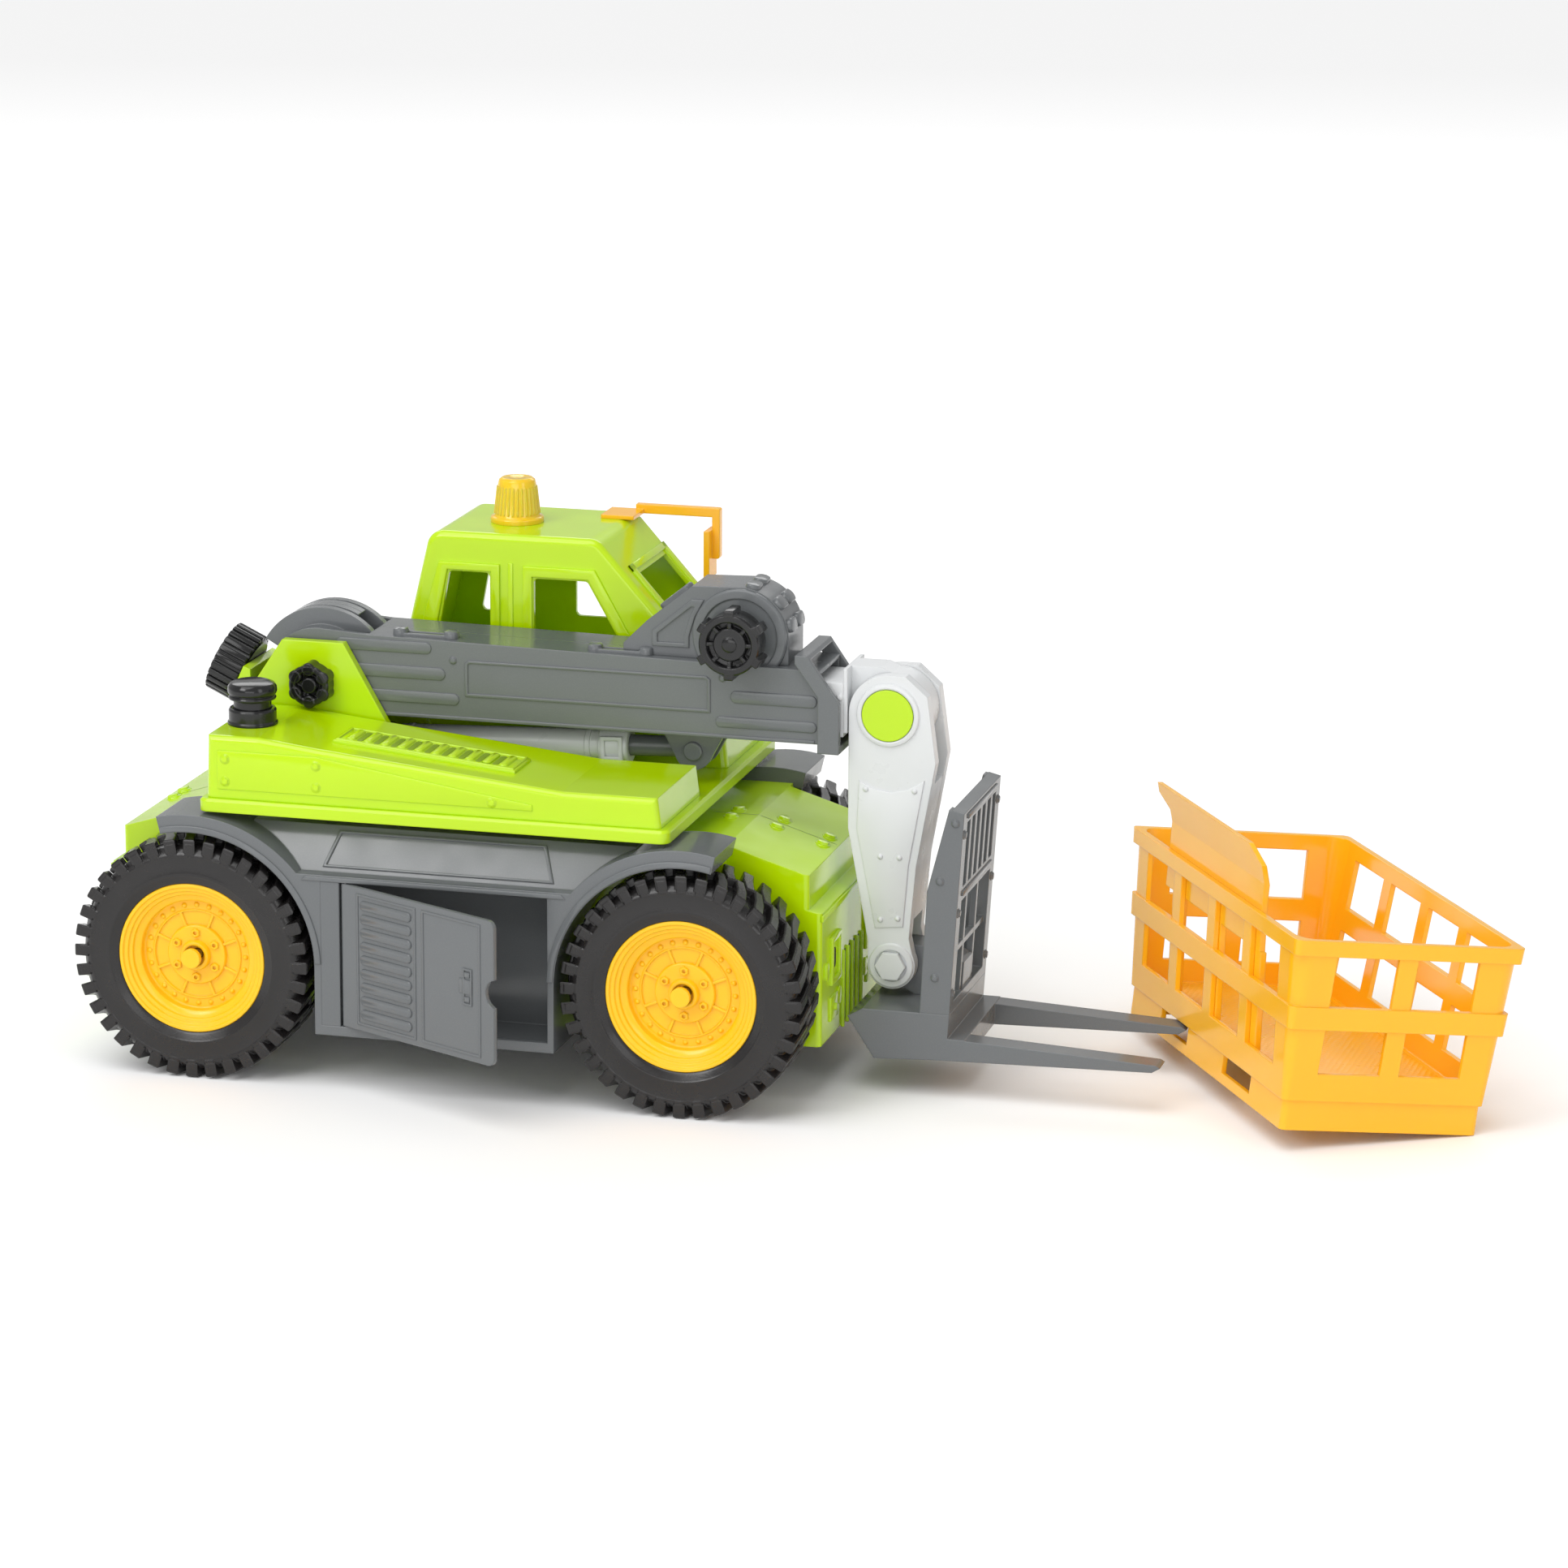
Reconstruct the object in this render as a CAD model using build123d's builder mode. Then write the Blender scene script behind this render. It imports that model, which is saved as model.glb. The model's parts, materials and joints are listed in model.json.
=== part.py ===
from build123d import *
import os
from math import asin, atan2, cos, degrees, hypot, radians, sin, tan

# Toy telescopic fork lift with a slewing upper body, a winding boom and a loose work basket.
# Millimetres. +X forwards to the forks, +Y to the cab side, +Z up.
# The origin is on the floor, midway between the axles and midway between the wheels.

os.makedirs("parts", exist_ok=True)

# ---- driving dimensions -------------------------------------------------------------------
wheelbase = 245.6
track_outer = 209.0          # over the outer faces of the rims
tyre_radius = 60.0
tyre_width = 34.0
tyre_bulge = 1.5             # how far a tyre stands out past its rim
rim_radius = 37.2
axle_radius = 2.5
hull_length = 360.0
hull_width = 120.0
hull_bottom = 27.0
hull_top = 124.0
shoulder_width = 132.0       # hull width between the wheels
skirt_reach = 104.5          # side face of the skirts, from the centreline
skirt_half = 60.0            # half the length of a skirt's side face
ledge_height = 106.5
door_width = 101.0
door_height = 70.9
door_bottom = 32.2
door_open = 27.0             # the near door stands ajar at rest, in degrees
deck_bottom = 133.0
deck_top = 139.3
deck_rear = -119.5
deck_front = 115.5
deck_half_width = 101.0
pivot_x = -85.5              # boom pivot
pivot_z = 182.0
boom_width = 41.0
boom_bottom = 166.3
boom_top_rear = 206.2
boom_top_front = 202.3
boom_front = 168.0
boom_wall = 3.0
wind_x = 127.0               # extension knob axis
wind_z = 215.7
arm_x = 201.0                # arm pivot at the boom's head
arm_z = 182.0
tilt_x = 203.8               # carriage pivot at the arm's foot
tilt_z = 57.8
carriage_half = 39.5
fork_tip = 341.5
fork_top_tip = 25.0
lug_x = 102.3                # cylinder pivot under the boom
lug_z = 156.1
foot_x = -58.0               # cylinder pivot on the deck
foot_z = 149.5
cab_near = 25.5
cab_far = 100.5
cab_roof = 250.0
basket_width = 100.4
basket_length = 203.0
basket_height = 93.6
basket_base = 14.6           # height of the plinth with the fork pockets
basket_yaw = 31.7
basket_roll = 6.6            # one long side is propped up on the fork tip

# ---- fits ---------------------------------------------------------------------------------
wall = 2.5
shaft_gap = 0.08             # radial clearance of a shaft that turns in its hole
slide_gap = 0.6              # between the inner boom and the boom
part_gap = 0.4               # between pieces that move past each other
pin_radius = 4.0
small_pin = 3.0
door_pin = 0.9

axle_z = tyre_radius
half_base = wheelbase / 2
tyre_outer = track_outer / 2 + tyre_bulge
tyre_inner = tyre_outer - tyre_width
near, far = -1, 1


# ---- helpers ------------------------------------------------------------------------------
def side(y):
    """Sketch plane parallel to XZ at the given y; an extrusion from it runs towards -Y."""
    return Plane.XZ.offset(-y)


def outline(points, y):
    """Closed straight-sided face in side view, at the given y."""
    with BuildSketch(side(y)) as face:
        with BuildLine():
            Polyline(*points, close=True)
        make_face()
    return face.sketch


def slab(points, y_low, y_high, mode=Mode.ADD):
    """Side-view outline, filled from y_low to y_high."""
    extrude(outline(points, y_high), amount=y_high - y_low, mode=mode)


def block(x_low, x_high, y_low, y_high, z_low, z_high, mode=Mode.ADD):
    """Box between two corners."""
    with Locations(((x_low + x_high) / 2, (y_low + y_high) / 2, (z_low + z_high) / 2)):
        Box(x_high - x_low, y_high - y_low, z_high - z_low, mode=mode)


def cross_rod(x, z, radius, y_low, y_high, mode=Mode.ADD):
    """Cylinder along Y."""
    with Locations((x, (y_low + y_high) / 2, z)):
        Cylinder(radius, y_high - y_low, rotation=(90, 0, 0), mode=mode)


def post(x, y, radius, z_low, z_high, mode=Mode.ADD):
    """Cylinder along Z."""
    with Locations((x, y, (z_low + z_high) / 2)):
        Cylinder(radius, z_high - z_low, mode=mode)


def polar(x, z, radius, angle):
    """Point at an angle (degrees, from +X towards +Z) about a centre in side view."""
    return (x + radius * cos(radians(angle)), z + radius * sin(radians(angle)))


def mirrored(points):
    """A front half outline followed by its mirror image across X = 0."""
    return points + [(-x, z) for x, z in reversed(points)]


def span(sign, inner, outer):
    """The y range between two distances from the centreline, on one side."""
    return (inner, outer) if sign > 0 else (-outer, -inner)


# ---- hull ---------------------------------------------------------------------------------
nose = hull_length / 2
bumper_top = 93.0
hood_front = nose - 6.5
hood_front_top = 111.5
hood_rear = 133.0
spindle_radius = 14.0
screw_radius = 1.4
screw_head = 2.8
head_height = 1.5
screw_spots = [(x, y) for x in (-150, -70, 70, 150) for y in (-54.5, 54.5)]
floor_thickness = 2.4

with BuildPart() as chassis_hull:
    slab(
        mirrored([
            (nose, hull_bottom), (nose, bumper_top), (hood_front, bumper_top + 1.5),
            (hood_front, hood_front_top), (hood_rear, hull_top),
        ]),
        -hull_width / 2, hull_width / 2,
    )
    fillet(chassis_hull.edges().filter_by(Axis.Z).sort_by(Axis.X)[-4:], 2.4)
    fillet(chassis_hull.edges().filter_by(Axis.Z).sort_by(Axis.X)[:4], 2.4)
    shoulder = shoulder_width / 2
    block(-hood_rear, hood_rear, -shoulder, shoulder, 100, hull_top)
    block(-skirt_half, skirt_half, -shoulder, shoulder, hull_bottom, hull_top)
    slab(
        mirrored([
            (nose - wall, hull_bottom - 1), (nose - wall, bumper_top - 2), (hood_front - wall, bumper_top - 1),
            (hood_front - wall, hood_front_top - 2), (hood_rear, hull_top - wall),
        ]),
        -hull_width / 2 + wall, hull_width / 2 - wall, mode=Mode.SUBTRACT,
    )
    block(
        -skirt_half + wall, skirt_half - wall, -shoulder + wall, shoulder - wall,
        hull_bottom - 1, hull_top - wall, mode=Mode.SUBTRACT,
    )
    for x, y in screw_spots:
        post(x, y, 4.0, hull_bottom + floor_thickness, 60)
        post(x, y, screw_radius, hull_bottom, 50, mode=Mode.SUBTRACT)
    for x in (-half_base, half_base):
        cross_rod(x, axle_z, axle_radius, -shoulder - 1, shoulder + 1, mode=Mode.SUBTRACT)
    post(0, 0, spindle_radius + shaft_gap, hull_top - wall - 1, hull_top + 1, mode=Mode.SUBTRACT)
chassis_hull.part.label = "chassis_hull"
export_step(chassis_hull.part, "parts/chassis_hull.step")

with BuildPart() as chassis_floor:
    block(
        -nose + wall, nose - wall, -hull_width / 2 + wall, hull_width / 2 - wall,
        hull_bottom, hull_bottom + floor_thickness,
    )
    for x, y in screw_spots:
        post(x, y, screw_radius, hull_bottom - 1, hull_bottom + 4, mode=Mode.SUBTRACT)
        post(x, y, screw_head + 0.1, hull_bottom - 1, hull_bottom + head_height, mode=Mode.SUBTRACT)
chassis_floor.part.label = "chassis_floor"
export_step(chassis_floor.part, "parts/chassis_floor.step")

with BuildPart() as base_screws:
    for x, y in screw_spots:
        post(x, y, screw_head, hull_bottom, hull_bottom + head_height)
        post(x, y, screw_radius, hull_bottom + head_height, 44)
base_screws.part.label = "base_screws"
export_step(base_screws.part, "parts/base_screws.step")

# ---- side skirts with their fenders -------------------------------------------------------
arch_radius = tyre_radius + 2.8
fender_radius = tyre_radius + 11.5
fender_end = 76.5            # degrees, where the fender stops past the top of the wheel
fender_start = 180 - degrees(asin((ledge_height - axle_z) / fender_radius))
face_thickness = 3.5
roof_half = 96.0             # half the length of the sloping top, which runs into both fenders
bin_back = 1.5               # back wall of the bin behind each door
door_top = door_bottom + door_height
hinge_x = 56.5 - door_width
hinge_y = skirt_reach - 1.8  # distance of the door's hinge axis from the centreline
door_slot = 0.4


def fender_outline(y):
    """Skirt and both fenders in side view."""
    rear_start = 180 - fender_start
    with BuildSketch(side(y)) as face:
        with BuildLine():
            Line((-skirt_half, hull_bottom), (skirt_half, hull_bottom))
            Line((skirt_half, hull_bottom), (half_base - arch_radius, axle_z))
            CenterArc((half_base, axle_z), arch_radius, 180, fender_end - 180)
            Line(polar(half_base, axle_z, arch_radius, fender_end),
                 polar(half_base, axle_z, fender_radius, fender_end))
            CenterArc((half_base, axle_z), fender_radius, fender_end, fender_start - fender_end)
            Line(polar(half_base, axle_z, fender_radius, fender_start),
                 polar(-half_base, axle_z, fender_radius, rear_start))
            CenterArc((-half_base, axle_z), fender_radius, rear_start, 180 - fender_end - rear_start)
            Line(polar(-half_base, axle_z, fender_radius, 180 - fender_end),
                 polar(-half_base, axle_z, arch_radius, 180 - fender_end))
            CenterArc((-half_base, axle_z), arch_radius, 180 - fender_end, fender_end - 180)
            Line((-half_base + arch_radius, axle_z), (-skirt_half, hull_bottom))
        make_face()
    return face.sketch


def roof_outline(sign, x):
    """Cross-section of the sloping top that joins the fenders."""
    points = [(sign * 97, ledge_height), (sign * 86, 127), (sign * shoulder, 127),
              (sign * shoulder, ledge_height - 3), (sign * 97, ledge_height - 3)]
    with BuildSketch(Plane.YZ.offset(x)) as face:
        with BuildLine():
            Polyline(*points, close=True)
        make_face()
    return face.sketch


def make_skirt(sign):
    with BuildPart() as skirt:
        y_low, y_high = span(sign, shoulder, skirt_reach)
        extrude(fender_outline(y_high), amount=y_high - y_low)
        extrude(roof_outline(sign, -roof_half), amount=2 * roof_half)
        for x in (-half_base, half_base):
            cross_rod(x, axle_z, arch_radius, y_low - 1, y_high + 1, mode=Mode.SUBTRACT)
        block(-57.5, 57.5, *span(sign, shoulder + bin_back, skirt_reach - face_thickness),
              hull_bottom + wall, ledge_height - 2.7, mode=Mode.SUBTRACT)
        block(hinge_x - 12, 57, *span(sign, shoulder + bin_back, skirt_reach + 1),
              door_bottom - door_slot, door_top + door_slot, mode=Mode.SUBTRACT)
        post(hinge_x, sign * hinge_y, door_pin, hull_bottom + 1, ledge_height - 0.8, mode=Mode.SUBTRACT)
    return skirt.part


skirt_near = make_skirt(near)
skirt_near.label = "skirt_near"
export_step(skirt_near, "parts/skirt_near.step")
skirt_far = make_skirt(far)
skirt_far.label = "skirt_far"
export_step(skirt_far, "parts/skirt_far.step")

with BuildPart() as hinge_strips:
    for sign in (near, far):
        block(hinge_x - 12, hinge_x - 2.6, *span(sign, skirt_reach - 2.2, skirt_reach),
              door_bottom - door_slot, door_top + door_slot)
hinge_strips.part.label = "hinge_strips"
export_step(hinge_strips.part, "parts/hinge_strips.step")

with BuildPart() as door_pins:
    for sign in (near, far):
        post(hinge_x, sign * hinge_y, door_pin, hull_bottom + 1, ledge_height - 0.8)
door_pins.part.label = "door_pins"
export_step(door_pins.part, "parts/door_pins.step")


def make_door(sign, angle):
    """Door leaf with its knuckle, turned open by the given angle about its hinge."""
    knuckle = skirt_reach - hinge_y
    middle = (door_bottom + door_top) / 2
    across = (cos(radians(angle)), sign * sin(radians(angle)), 0)
    outward = (-sin(radians(angle)), sign * cos(radians(angle)), 0)
    face = Plane(origin=(hinge_x, sign * hinge_y, middle), x_dir=across, z_dir=outward)
    with BuildPart() as door:
        with BuildSketch(face.offset(-0.4)) as leaf:
            with Locations((door_width / 2, 0)):
                Rectangle(door_width, door_height)
            fillet(leaf.vertices().group_by(Axis.X)[-1], 4)
            with Locations((door_width + 1.5, 0)):
                Circle(7, mode=Mode.SUBTRACT)
        extrude(amount=knuckle + 0.4)
        post(hinge_x, sign * hinge_y, knuckle, door_bottom, door_top)
        post(hinge_x, sign * hinge_y, door_pin + shaft_gap, door_bottom - 1, door_top + 1, mode=Mode.SUBTRACT)
    return door.part


door_near = make_door(near, door_open)
door_near.label = "door_near"
export_step(door_near, "parts/door_near.step")
door_far = make_door(far, 0)
door_far.label = "door_far"
export_step(door_far, "parts/door_far.step")

# ---- axles and wheels ---------------------------------------------------------------------
hub_outer = track_outer / 2 - 1.5


with BuildPart() as axles:
    for x in (-half_base, half_base):
        cross_rod(x, axle_z, axle_radius, -hub_outer - 2, hub_outer + 2)
axles.part.label = "axles"
export_step(axles.part, "parts/axles.step")

with BuildPart() as axle_caps:
    for x in (-half_base, half_base):
        for sign in (near, far):
            cross_rod(x, axle_z, 4.8, *span(sign, hub_outer + part_gap, hub_outer + 3))
            cross_rod(x, axle_z, axle_radius, *span(sign, hub_outer, hub_outer + 2), mode=Mode.SUBTRACT)
axle_caps.part.label = "axle_caps"
export_step(axle_caps.part, "parts/axle_caps.step")


def turned(x, sign, points, rounds=None, radius=1.0):
    """Solid of revolution about a wheel's axis; points are (distance from centreline, radius)."""
    plane = Plane(origin=(x, 0, axle_z), x_dir=(0, 1, 0), z_dir=(1, 0, 0))
    with BuildPart() as solid:
        with BuildSketch(plane) as profile:
            with BuildLine():
                Polyline(*[(sign * y, r) for y, r in points], close=True)
            make_face()
            if rounds:
                fillet(profile.vertices().group_by(Axis.Y)[rounds], radius)
        revolve(axis=Axis((x, 0, axle_z), (0, 1, 0)))
    return solid.part


def make_tyre(x, sign):
    return turned(x, sign, [
        (tyre_inner + 2, rim_radius), (tyre_inner, rim_radius + 8), (tyre_inner, tyre_radius),
        (tyre_outer, tyre_radius), (tyre_outer, rim_radius + 8), (tyre_outer - 2, rim_radius),
    ], rounds=-1, radius=4)


def make_rim(x, sign):
    face = track_outer / 2
    bore = axle_radius + shaft_gap
    return turned(x, sign, [
        (tyre_inner + 2, rim_radius), (face, rim_radius), (face, rim_radius - 3), (face - 3, 29),
        (face - 5, 27.6), (face - 8, 26), (face - 8, 14.7), (face - 5, 14), (face - 5, 6.9),
        (hub_outer, 6.9), (hub_outer, bore), (tyre_inner - 4, bore), (tyre_inner - 4, 9),
        (face - 11, 9), (face - 11, 30), (tyre_inner + 2, rim_radius - 3),
    ])


wheel_spots = {
    "front_near": (half_base, near), "front_far": (half_base, far),
    "rear_near": (-half_base, near), "rear_far": (-half_base, far),
}
for spot, (x, sign) in wheel_spots.items():
    tyre = make_tyre(x, sign)
    tyre.label = "tyre_" + spot
    export_step(tyre, "parts/" + tyre.label + ".step")
    rim = make_rim(x, sign)
    rim.label = "rim_" + spot
    export_step(rim, "parts/" + rim.label + ".step")

# ---- turntable and deck -------------------------------------------------------------------
with BuildPart() as turntable_ring:
    post(0, 0, 56, hull_top, deck_bottom - 0.2)
    post(0, 0, 46, hull_top - 1, deck_bottom, mode=Mode.SUBTRACT)
turntable_ring.part.label = "turntable_ring"
export_step(turntable_ring.part, "parts/turntable_ring.step")

retainer_top = hull_top - wall - 0.3
with BuildPart() as deck:
    block(deck_rear, deck_front, -deck_half_width, deck_half_width, deck_bottom, deck_top)
    fillet(deck.edges().filter_by(Axis.Z), 5)
    chamfer(deck.faces().sort_by(Axis.Z)[-1].edges(), 1.2)
    post(0, 0, spindle_radius, retainer_top, deck_bottom)
    post(0, 0, screw_radius, retainer_top, deck_bottom, mode=Mode.SUBTRACT)
deck.part.label = "deck"
export_step(deck.part, "parts/deck.step")

with BuildPart() as turret_retainer:
    post(0, 0, 22, retainer_top - 3, retainer_top)
    post(0, 0, screw_radius, retainer_top - 4, retainer_top + 1, mode=Mode.SUBTRACT)
turret_retainer.part.label = "turret_retainer"
export_step(turret_retainer.part, "parts/turret_retainer.step")

with BuildPart() as turret_screw:
    post(0, 0, 3.5, retainer_top - 5, retainer_top - 3)
    post(0, 0, screw_radius, retainer_top - 3, deck_bottom)
turret_screw.part.label = "turret_screw"
export_step(turret_screw.part, "parts/turret_screw.step")

# ---- engine pod and push button -----------------------------------------------------------
pod_rear = -115.0
pod_top = 170.0
pod_inner = -28.5
pod_outer = -98.0
button_x = -102.5
button_y = -68.0
button_radius = 9.2
socket_top = 178.0
with BuildPart() as engine_pod:
    slab([(pod_rear - 1, deck_top), (pod_rear, pod_top), (-90, pod_top), (-61, 166.5), (62, 154), (109, 154),
          (111, deck_top)], pod_outer, pod_inner)
    fillet(engine_pod.edges().filter_by(lambda e: e.center().Y < pod_outer + 0.1 and e.center().Z > 145), 3)
    slab([(pod_rear + 1.5, deck_top - 1), (pod_rear + wall, pod_top - wall), (-90.4, pod_top - wall),
          (-61.4, 164), (61.6, 151.5), (106.6, 151.5), (108.4, deck_top - 1)],
         pod_outer + wall, pod_inner - wall, mode=Mode.SUBTRACT)
engine_pod.part.label = "engine_pod"
export_step(engine_pod.part, "parts/engine_pod.step")

with BuildPart() as button_socket:
    post(button_x, button_y, 11.6, pod_top, socket_top)
    fillet(button_socket.edges().group_by(Axis.Z)[-1], 1.2)
    post(button_x, button_y, button_radius + shaft_gap, pod_top + 1.2, socket_top + 1, mode=Mode.SUBTRACT)
button_socket.part.label = "button_socket"
export_step(button_socket.part, "parts/button_socket.step")

with BuildPart() as button_cap:
    post(button_x, button_y, button_radius, pod_top + 5, 184)
    post(button_x, button_y, 11.5, 182, 184)
    post(button_x, button_y, 12, 184.6, 191)
    fillet(button_cap.edges().group_by(Axis.Z)[-1], 3)
    post(button_x, button_y, 10.8, 184, 184.6)
    post(button_x, button_y, 6, pod_top + 4, 184, mode=Mode.SUBTRACT)
button_cap.part.label = "button_cap"
export_step(button_cap.part, "parts/button_cap.step")

spring_radius = 4.6
spring_wire = 0.5
spring_low = pod_top + 1.2 + spring_wire
spring_height = 184 - spring_wire - spring_low
with BuildPart() as button_spring:
    with BuildLine() as coil:
        Helix(pitch=2.4, height=spring_height, radius=spring_radius, center=(button_x, button_y, spring_low))
    with BuildSketch(Plane(origin=coil.line @ 0, z_dir=coil.line % 0)):
        Circle(spring_wire)
    sweep(is_frenet=True)
button_spring.part.label = "button_spring"
export_step(button_spring.part, "parts/button_spring.step")

# ---- boom brackets, pivot pin and lift winding gear ---------------------------------------
boom_half = boom_width / 2
bracket_inner = boom_half + 0.8
bracket_points = [(-117, deck_top), (-117, 179.5), (-101.8, 202.5), (-70.4, 202.5), (-46.7, 161), (-34.5, deck_top)]
pivot_pin = 5.0


def make_bracket(y_low, y_high):
    with BuildPart() as bracket:
        slab(bracket_points, y_low, y_high)
        cross_rod(pivot_x, pivot_z, pivot_pin, y_low - 1, y_high + 1, mode=Mode.SUBTRACT)
    return bracket.part


bracket_near_y = (-bracket_inner - 5.2, -bracket_inner)
bracket_far_y = (bracket_inner, cab_near - part_gap)
boom_bracket_near = make_bracket(*bracket_near_y)
boom_bracket_near.label = "boom_bracket_near"
export_step(boom_bracket_near, "parts/boom_bracket_near.step")
boom_bracket_far = make_bracket(*bracket_far_y)
boom_bracket_far.label = "boom_bracket_far"
export_step(boom_bracket_far, "parts/boom_bracket_far.step")

with BuildPart() as boom_pin:
    cross_rod(pivot_x, pivot_z, pivot_pin, bracket_near_y[0] - 3, bracket_far_y[1] + 3)
boom_pin.part.label = "boom_pin"
export_step(boom_pin.part, "parts/boom_pin.step")

with BuildPart() as pivot_knobs:
    for low, high in ((bracket_near_y[0] - 9, bracket_near_y[0]), (bracket_far_y[1], bracket_far_y[1] + 9)):
        cross_rod(pivot_x, pivot_z, 10.4, low, high)
        for step in range(6):
            lobe_x, lobe_z = polar(pivot_x, pivot_z, 8.6, 60 * step)
            cross_rod(lobe_x, lobe_z, 3.0, low, high)
    cross_rod(pivot_x, pivot_z, pivot_pin, bracket_near_y[0] - 3, bracket_far_y[1] + 3, mode=Mode.SUBTRACT)
pivot_knobs.part.label = "pivot_knobs"
export_step(pivot_knobs.part, "parts/pivot_knobs.step")

# The worm's shaft passes under the boom pivot and slopes up to the winding knob behind it.
worm_offset = 20.0
worm_slope = 25.3
worm_radius = 6.0
worm_foot = polar(pivot_x, pivot_z, worm_offset, 270 - worm_slope)
worm_dir = (cos(radians(-worm_slope)), 0, sin(radians(-worm_slope)))
knob_face = -37.1            # inner face of the winding knob, along the shaft from its foot
knob_length = 16.6


def worm_plane(distance):
    """Plane across the worm's shaft, at a distance along it from the foot."""
    origin = (worm_foot[0] + distance * worm_dir[0], 0, worm_foot[1] + distance * worm_dir[2])
    return Plane(origin=origin, x_dir=(0, 1, 0), z_dir=worm_dir)


def worm_cylinder(radius, start, end, mode=Mode.ADD):
    """Cylinder along the worm's shaft."""
    with BuildSketch(worm_plane(start)) as disc:
        Circle(radius)
    extrude(disc.sketch, amount=end - start, mode=mode)


with BuildPart() as lift_worm:
    worm_cylinder(small_pin, knob_face - knob_length + 3, -12)
    worm_cylinder(worm_radius, -12, 12)
lift_worm.part.label = "lift_worm"
export_step(lift_worm.part, "parts/lift_worm.step")

with BuildPart() as lift_knob:
    worm_cylinder(18, knob_face - knob_length, knob_face)
    fillet(lift_knob.edges().filter_by(GeomType.CIRCLE), 1.6)
    worm_cylinder(small_pin, knob_face - knob_length + 3, knob_face + 1, mode=Mode.SUBTRACT)
lift_knob.part.label = "lift_knob"
export_step(lift_knob.part, "parts/lift_knob.step")

with BuildPart() as worm_housing:
    slab([(pivot_x + x, pivot_z + z) for x, z in (
        (-34, deck_top - pivot_z), (-24, deck_top - pivot_z), (-24, -14), (-34.2, -14), (-35, 3),
        (-38.5, 4.5), (-45, -9.6), (-42, -18))], -bracket_inner, bracket_inner)
    worm_cylinder(small_pin + shaft_gap, knob_face - 4, 14, mode=Mode.SUBTRACT)
worm_housing.part.label = "worm_housing"
export_step(worm_housing.part, "parts/worm_housing.step")

# ---- cab ----------------------------------------------------------------------------------
cab_points = [(-69, deck_top), (-43, cab_roof), (43, cab_roof), (77, 212), (107, 165), (110, deck_top)]


def cab_outline(y, inset):
    with BuildSketch(side(y)) as face:
        with BuildLine():
            Polyline(*cab_points, close=True)
        make_face()
        fillet(face.vertices().filter_by(lambda v: v.Y > 205), 9)
        if inset:
            offset(amount=-inset, mode=Mode.REPLACE)
    return face.sketch


def window(points, y_low, y_high):
    with BuildSketch(side(y_high)) as face:
        with BuildLine():
            Polyline(*points, close=True)
        make_face()
        fillet(face.vertices(), 2.5)
    extrude(face.sketch, amount=y_high - y_low, mode=Mode.SUBTRACT)


with BuildPart() as cab_shell:
    extrude(cab_outline(cab_far, 0), amount=cab_far - cab_near)
    rim_edges = cab_shell.edges().filter_by(
        lambda e: e.center().Z > deck_top + 10 and (e.center().Y < cab_near + 0.1 or e.center().Y > cab_far - 0.1))
    fillet(rim_edges, 3.5)
    extrude(cab_outline(cab_far - wall, wall), amount=cab_far - cab_near - 2 * wall, mode=Mode.SUBTRACT)
    block(-65, 106, cab_near + wall, cab_far - wall, deck_top - 1, deck_top + 3, mode=Mode.SUBTRACT)
    window([(-39, 195), (-32.5, 230.5), (-11.5, 230.5), (-11.5, 195)], cab_near - 1, cab_far + 1)
    window([(11, 195), (11, 229), (38.5, 229), (58, 195)], cab_near - 1, cab_far + 1)
    block(55, 112, cab_near + 16.5, cab_far - 8.5, 186, 231, mode=Mode.SUBTRACT)
cab_shell.part.label = "cab_shell"
export_step(cab_shell.part, "parts/cab_shell.step")

beacon_x = -8.0
beacon_y = 60.0
with BuildPart() as beacon_lens:
    with BuildSketch(Plane.XZ.offset(-beacon_y)) as profile:
        with BuildLine():
            Polyline((beacon_x, cab_roof), (beacon_x + 13.3, cab_roof), (beacon_x + 13.3, cab_roof + 2.5),
                     (beacon_x + 11.3, cab_roof + 4.5), (beacon_x + 9.6, cab_roof + 21.5),
                     (beacon_x, cab_roof + 22.5), close=True)
        make_face()
    revolve(axis=Axis((beacon_x, beacon_y, 0), (0, 0, 1)))
beacon_lens.part.label = "beacon_lens"
export_step(beacon_lens.part, "parts/beacon_lens.step")

with BuildPart() as mirror_arm:
    block(30, 47, 78, 98, cab_roof, cab_roof + 2)
    block(43, 86.5, 96, 100.5, cab_roof, cab_roof + 4.5)
    block(82.5, 86.5, 96, 100.5, 229, cab_roof + 4.5)
    fillet(mirror_arm.edges().filter_by(Axis.Y).sort_by(Axis.X)[-2:], 1.2)
    block(79.5, 82.5, 91, 105, 219.5, 243.5)
mirror_arm.part.label = "mirror_arm"
export_step(mirror_arm.part, "parts/mirror_arm.step")

# ---- lift cylinder ------------------------------------------------------------------------
stroke_angle = atan2(lug_z - foot_z, lug_x - foot_x)
cylinder_length = hypot(lug_z - foot_z, lug_x - foot_x)
eye_half = 4.8
ear_inner = eye_half + 0.5
ear_outer = ear_inner + 4.0
barrel_radius = 7.7
rod_radius = 5.2
eye_slack = 3.6              # play round the upper pin, where the linkage's loop is left open


def stroke_point(distance):
    return (foot_x + distance * cos(stroke_angle), 0, foot_z + distance * sin(stroke_angle))


def stroke_cylinder(radius, start, end, mode=Mode.ADD):
    """Cylinder along the lift cylinder's line, between two distances from its lower pivot."""
    direction = (cos(stroke_angle), 0, sin(stroke_angle))
    with BuildSketch(Plane(origin=stroke_point(start), x_dir=(0, 1, 0), z_dir=direction)) as disc:
        Circle(radius)
    extrude(disc.sketch, amount=end - start, mode=mode)


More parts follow.
